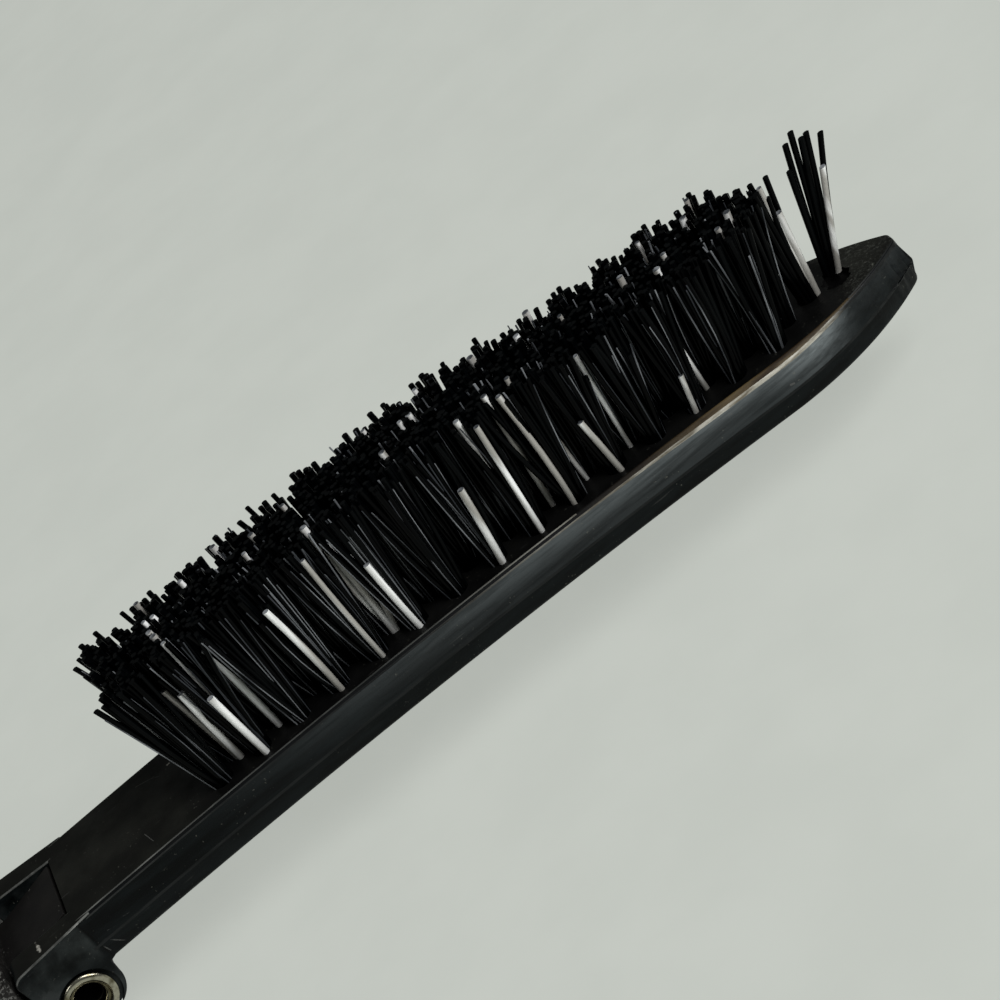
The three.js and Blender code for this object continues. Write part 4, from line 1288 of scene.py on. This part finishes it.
def handle_cover(finish):
    piece = loft("cover_shell", handle_stations(-SHOULDER, -HANDLE_REACH), cover_section)
    notch_half = FORK_SLOT / 2
    notch = block(
        "tongue_notch",
        (-SHOULDER - FRONT_WALL - CUT_MARGIN, -notch_half, SEAM_RISE - CUT_MARGIN),
        (-SHOULDER + CUT_MARGIN, notch_half, TONGUE_LOW + SEAT_GAP),
    )
    slot_half = STEM_WIDTH / 2 + SEAT_GAP
    slot = block(
        "button_slot",
        (-BUTTON_PLACE - STEM_LENGTH / 2 - SEAT_GAP, -slot_half, BOLT_BOTTOM),
        (-BUTTON_PLACE + STEM_LENGTH / 2 + BOLT_TRAVEL + SEAT_GAP, slot_half, HANDLE_RISE + CUT_MARGIN),
    )
    cut(dressed(piece, finish), cavity(), notch, slot)
    foot = CAVITY_FLOOR + FRAME_BOSS_HEIGHT + SEAT_GAP
    roof = HANDLE_RISE - HANDLE_WALL / 2
    join(piece, screw_rods("cover_bosses", BOSS_DIAMETER / 2, foot, roof))
    bore = SCREW_THREAD / 2 + TURNING_GAP
    cut(piece, screw_rods("screw_holes", bore, foot - CUT_MARGIN, roof - HANDLE_WALL / 2, THREAD_SIDES))
    put(shaded(piece), "handle", "handle_plastic", "handle_cover")


# The frame's own nodes, whose shape stays
def finished_node(name, material, edge):
    """Gives a node its finish and eased edges."""
    node = frame["nodes"][name]
    node.data.materials.clear()
    dressed(node, material)
    node.modifiers.new("weld", "WELD").merge_threshold = WELD_DISTANCE * MILLIMETRE
    add_bevel(node, edge * MILLIMETRE, NODE_EDGE_STEPS)
    keep_flat(node)


# Floor, lamps and camera
def pale_floor():
    """A floor that keeps a faint shadow: the camera and mirrors see mostly its plain colour."""
    paint = Paint("pale_floor")
    speckle = paint.ramp(paint.noise(14, detail=4), 0.3, 0.7)
    colour = paint.mix(speckle, (0.538, 0.565, 0.521), (0.556, 0.583, 0.538))
    paint.finish(colour, 0.9, level=0.1)
    plain = paint.node("ShaderNodeEmission", {"Color": colour, "Strength": 1.0}).outputs["Emission"]
    rays = paint.node("ShaderNodeLightPath").outputs
    seen = paint.math("ADD", rays["Is Camera Ray"], rays["Is Glossy Ray"])
    seen = paint.math("ADD", seen, rays["Is Transmission Ray"])
    share = paint.times(paint.math("MINIMUM", seen, 1), FLOOR_PLAIN_SHARE)
    inputs = {0: share, 1: paint.shader.outputs["BSDF"], 2: plain}
    mixed = paint.node("ShaderNodeMixShader", inputs).outputs["Shader"]
    paint.feed(paint.tree.nodes["Material Output"].inputs["Surface"], mixed)
    return paint.material


def floor():
    low = (-FLOOR_HALF, -FLOOR_HALF, -BASE_DROP - FLOOR_DEPTH)
    piece = block("floor", low, (FLOOR_HALF, FLOOR_HALF, -BASE_DROP - FLOOR_GAP))
    dressed(piece, pale_floor())
    piece.data.transform(PLACEMENT)


def aimed(name, data, place, target, roll=0):
    """A lamp or camera at its place, turned to its target."""
    stand = linked(name, data)
    stand.location = PLACEMENT @ Vector(place)
    turn = (Vector(target) - Vector(place)).to_track_quat("-Z", "Y").to_matrix()
    stand.rotation_euler = (turn @ Matrix.Rotation(-radians(roll), 3, "Z")).to_euler()
    return stand


def lamp(name, place, target, size, power):
    light = bpy.data.lights.new(name, "AREA")
    light.shape = "RECTANGLE"
    light.size, light.size_y = (side * MILLIMETRE for side in size)
    light.energy = power
    aimed(name, light, place, target)


def studio():
    lamp("key", *KEY_LAMP)
    lamp("fill", *FILL_LAMP)
    world = bpy.data.worlds.new("studio")
    world.use_nodes = True
    background = world.node_tree.nodes["Background"]
    background.inputs["Color"].default_value = WORLD_COLOUR
    background.inputs["Strength"].default_value = WORLD_STRENGTH
    bpy.context.scene.world = world


def camera():
    azimuth = radians(CAMERA_AZIMUTH)
    elevation = radians(CAMERA_ELEVATION)
    level = cos(elevation)
    back = Vector((sin(azimuth) * level, -cos(azimuth) * level, sin(elevation)))
    data = bpy.data.cameras.new("camera")
    data.lens = CAMERA_LENS
    data.sensor_width = CAMERA_SENSOR
    data.clip_start, data.clip_end = CAMERA_CLIP
    place = Vector(CAMERA_TARGET) + back * CAMERA_DISTANCE
    bpy.context.scene.camera = aimed("camera", data, place, CAMERA_TARGET, CAMERA_ROLL)


def brush():
    hole = smooth_plastic("hole_plastic", (0.0008, 0.0008, 0.0008), (0.003, 0.003, 0.0028))
    brush_head((head_plastic(), edge_plastic(), crescent_plastic(), hole))
    black = ((0.0002, 0.0003, 0.0004), (0.0008, 0.0011, 0.0013))
    strands = (
        nylon("black_nylon", *black, 0.16, 0.05),
        nylon("pale_nylon", (0.3, 0.29, 0.265), (0.84, 0.85, 0.84), 0.3, 0.5),
        nylon("grey_nylon", (0.03, 0.033, 0.037), (0.18, 0.19, 0.2), 0.3, 0.12),
    )
    for name in ROWS:
        bristles(name, strands)
    hinge_eyelet(eyelet_metal())
    pebbled = handle_plastic()
    handle_frame(pebbled)
    handle_cover(pebbled)
    lock = smooth_plastic("lock_plastic", (0.006, 0.006, 0.0062), (0.013, 0.013, 0.0135))
    finished_node("lock_bolt", lock, BOLT_EDGE)
    finished_node("lock_button", lock, BUTTON_EDGE)
    steel = plated_metal()
    screws = [f"cover_screw_{place}" for place in ("front", "middle", "rear")]
    for name in ("button_screw", "detent_spring", *screws):
        finished_node(name, steel, METAL_EDGE)


camera()
brush()
floor()
studio()
bpy.context.scene.view_settings.view_transform = "Standard"
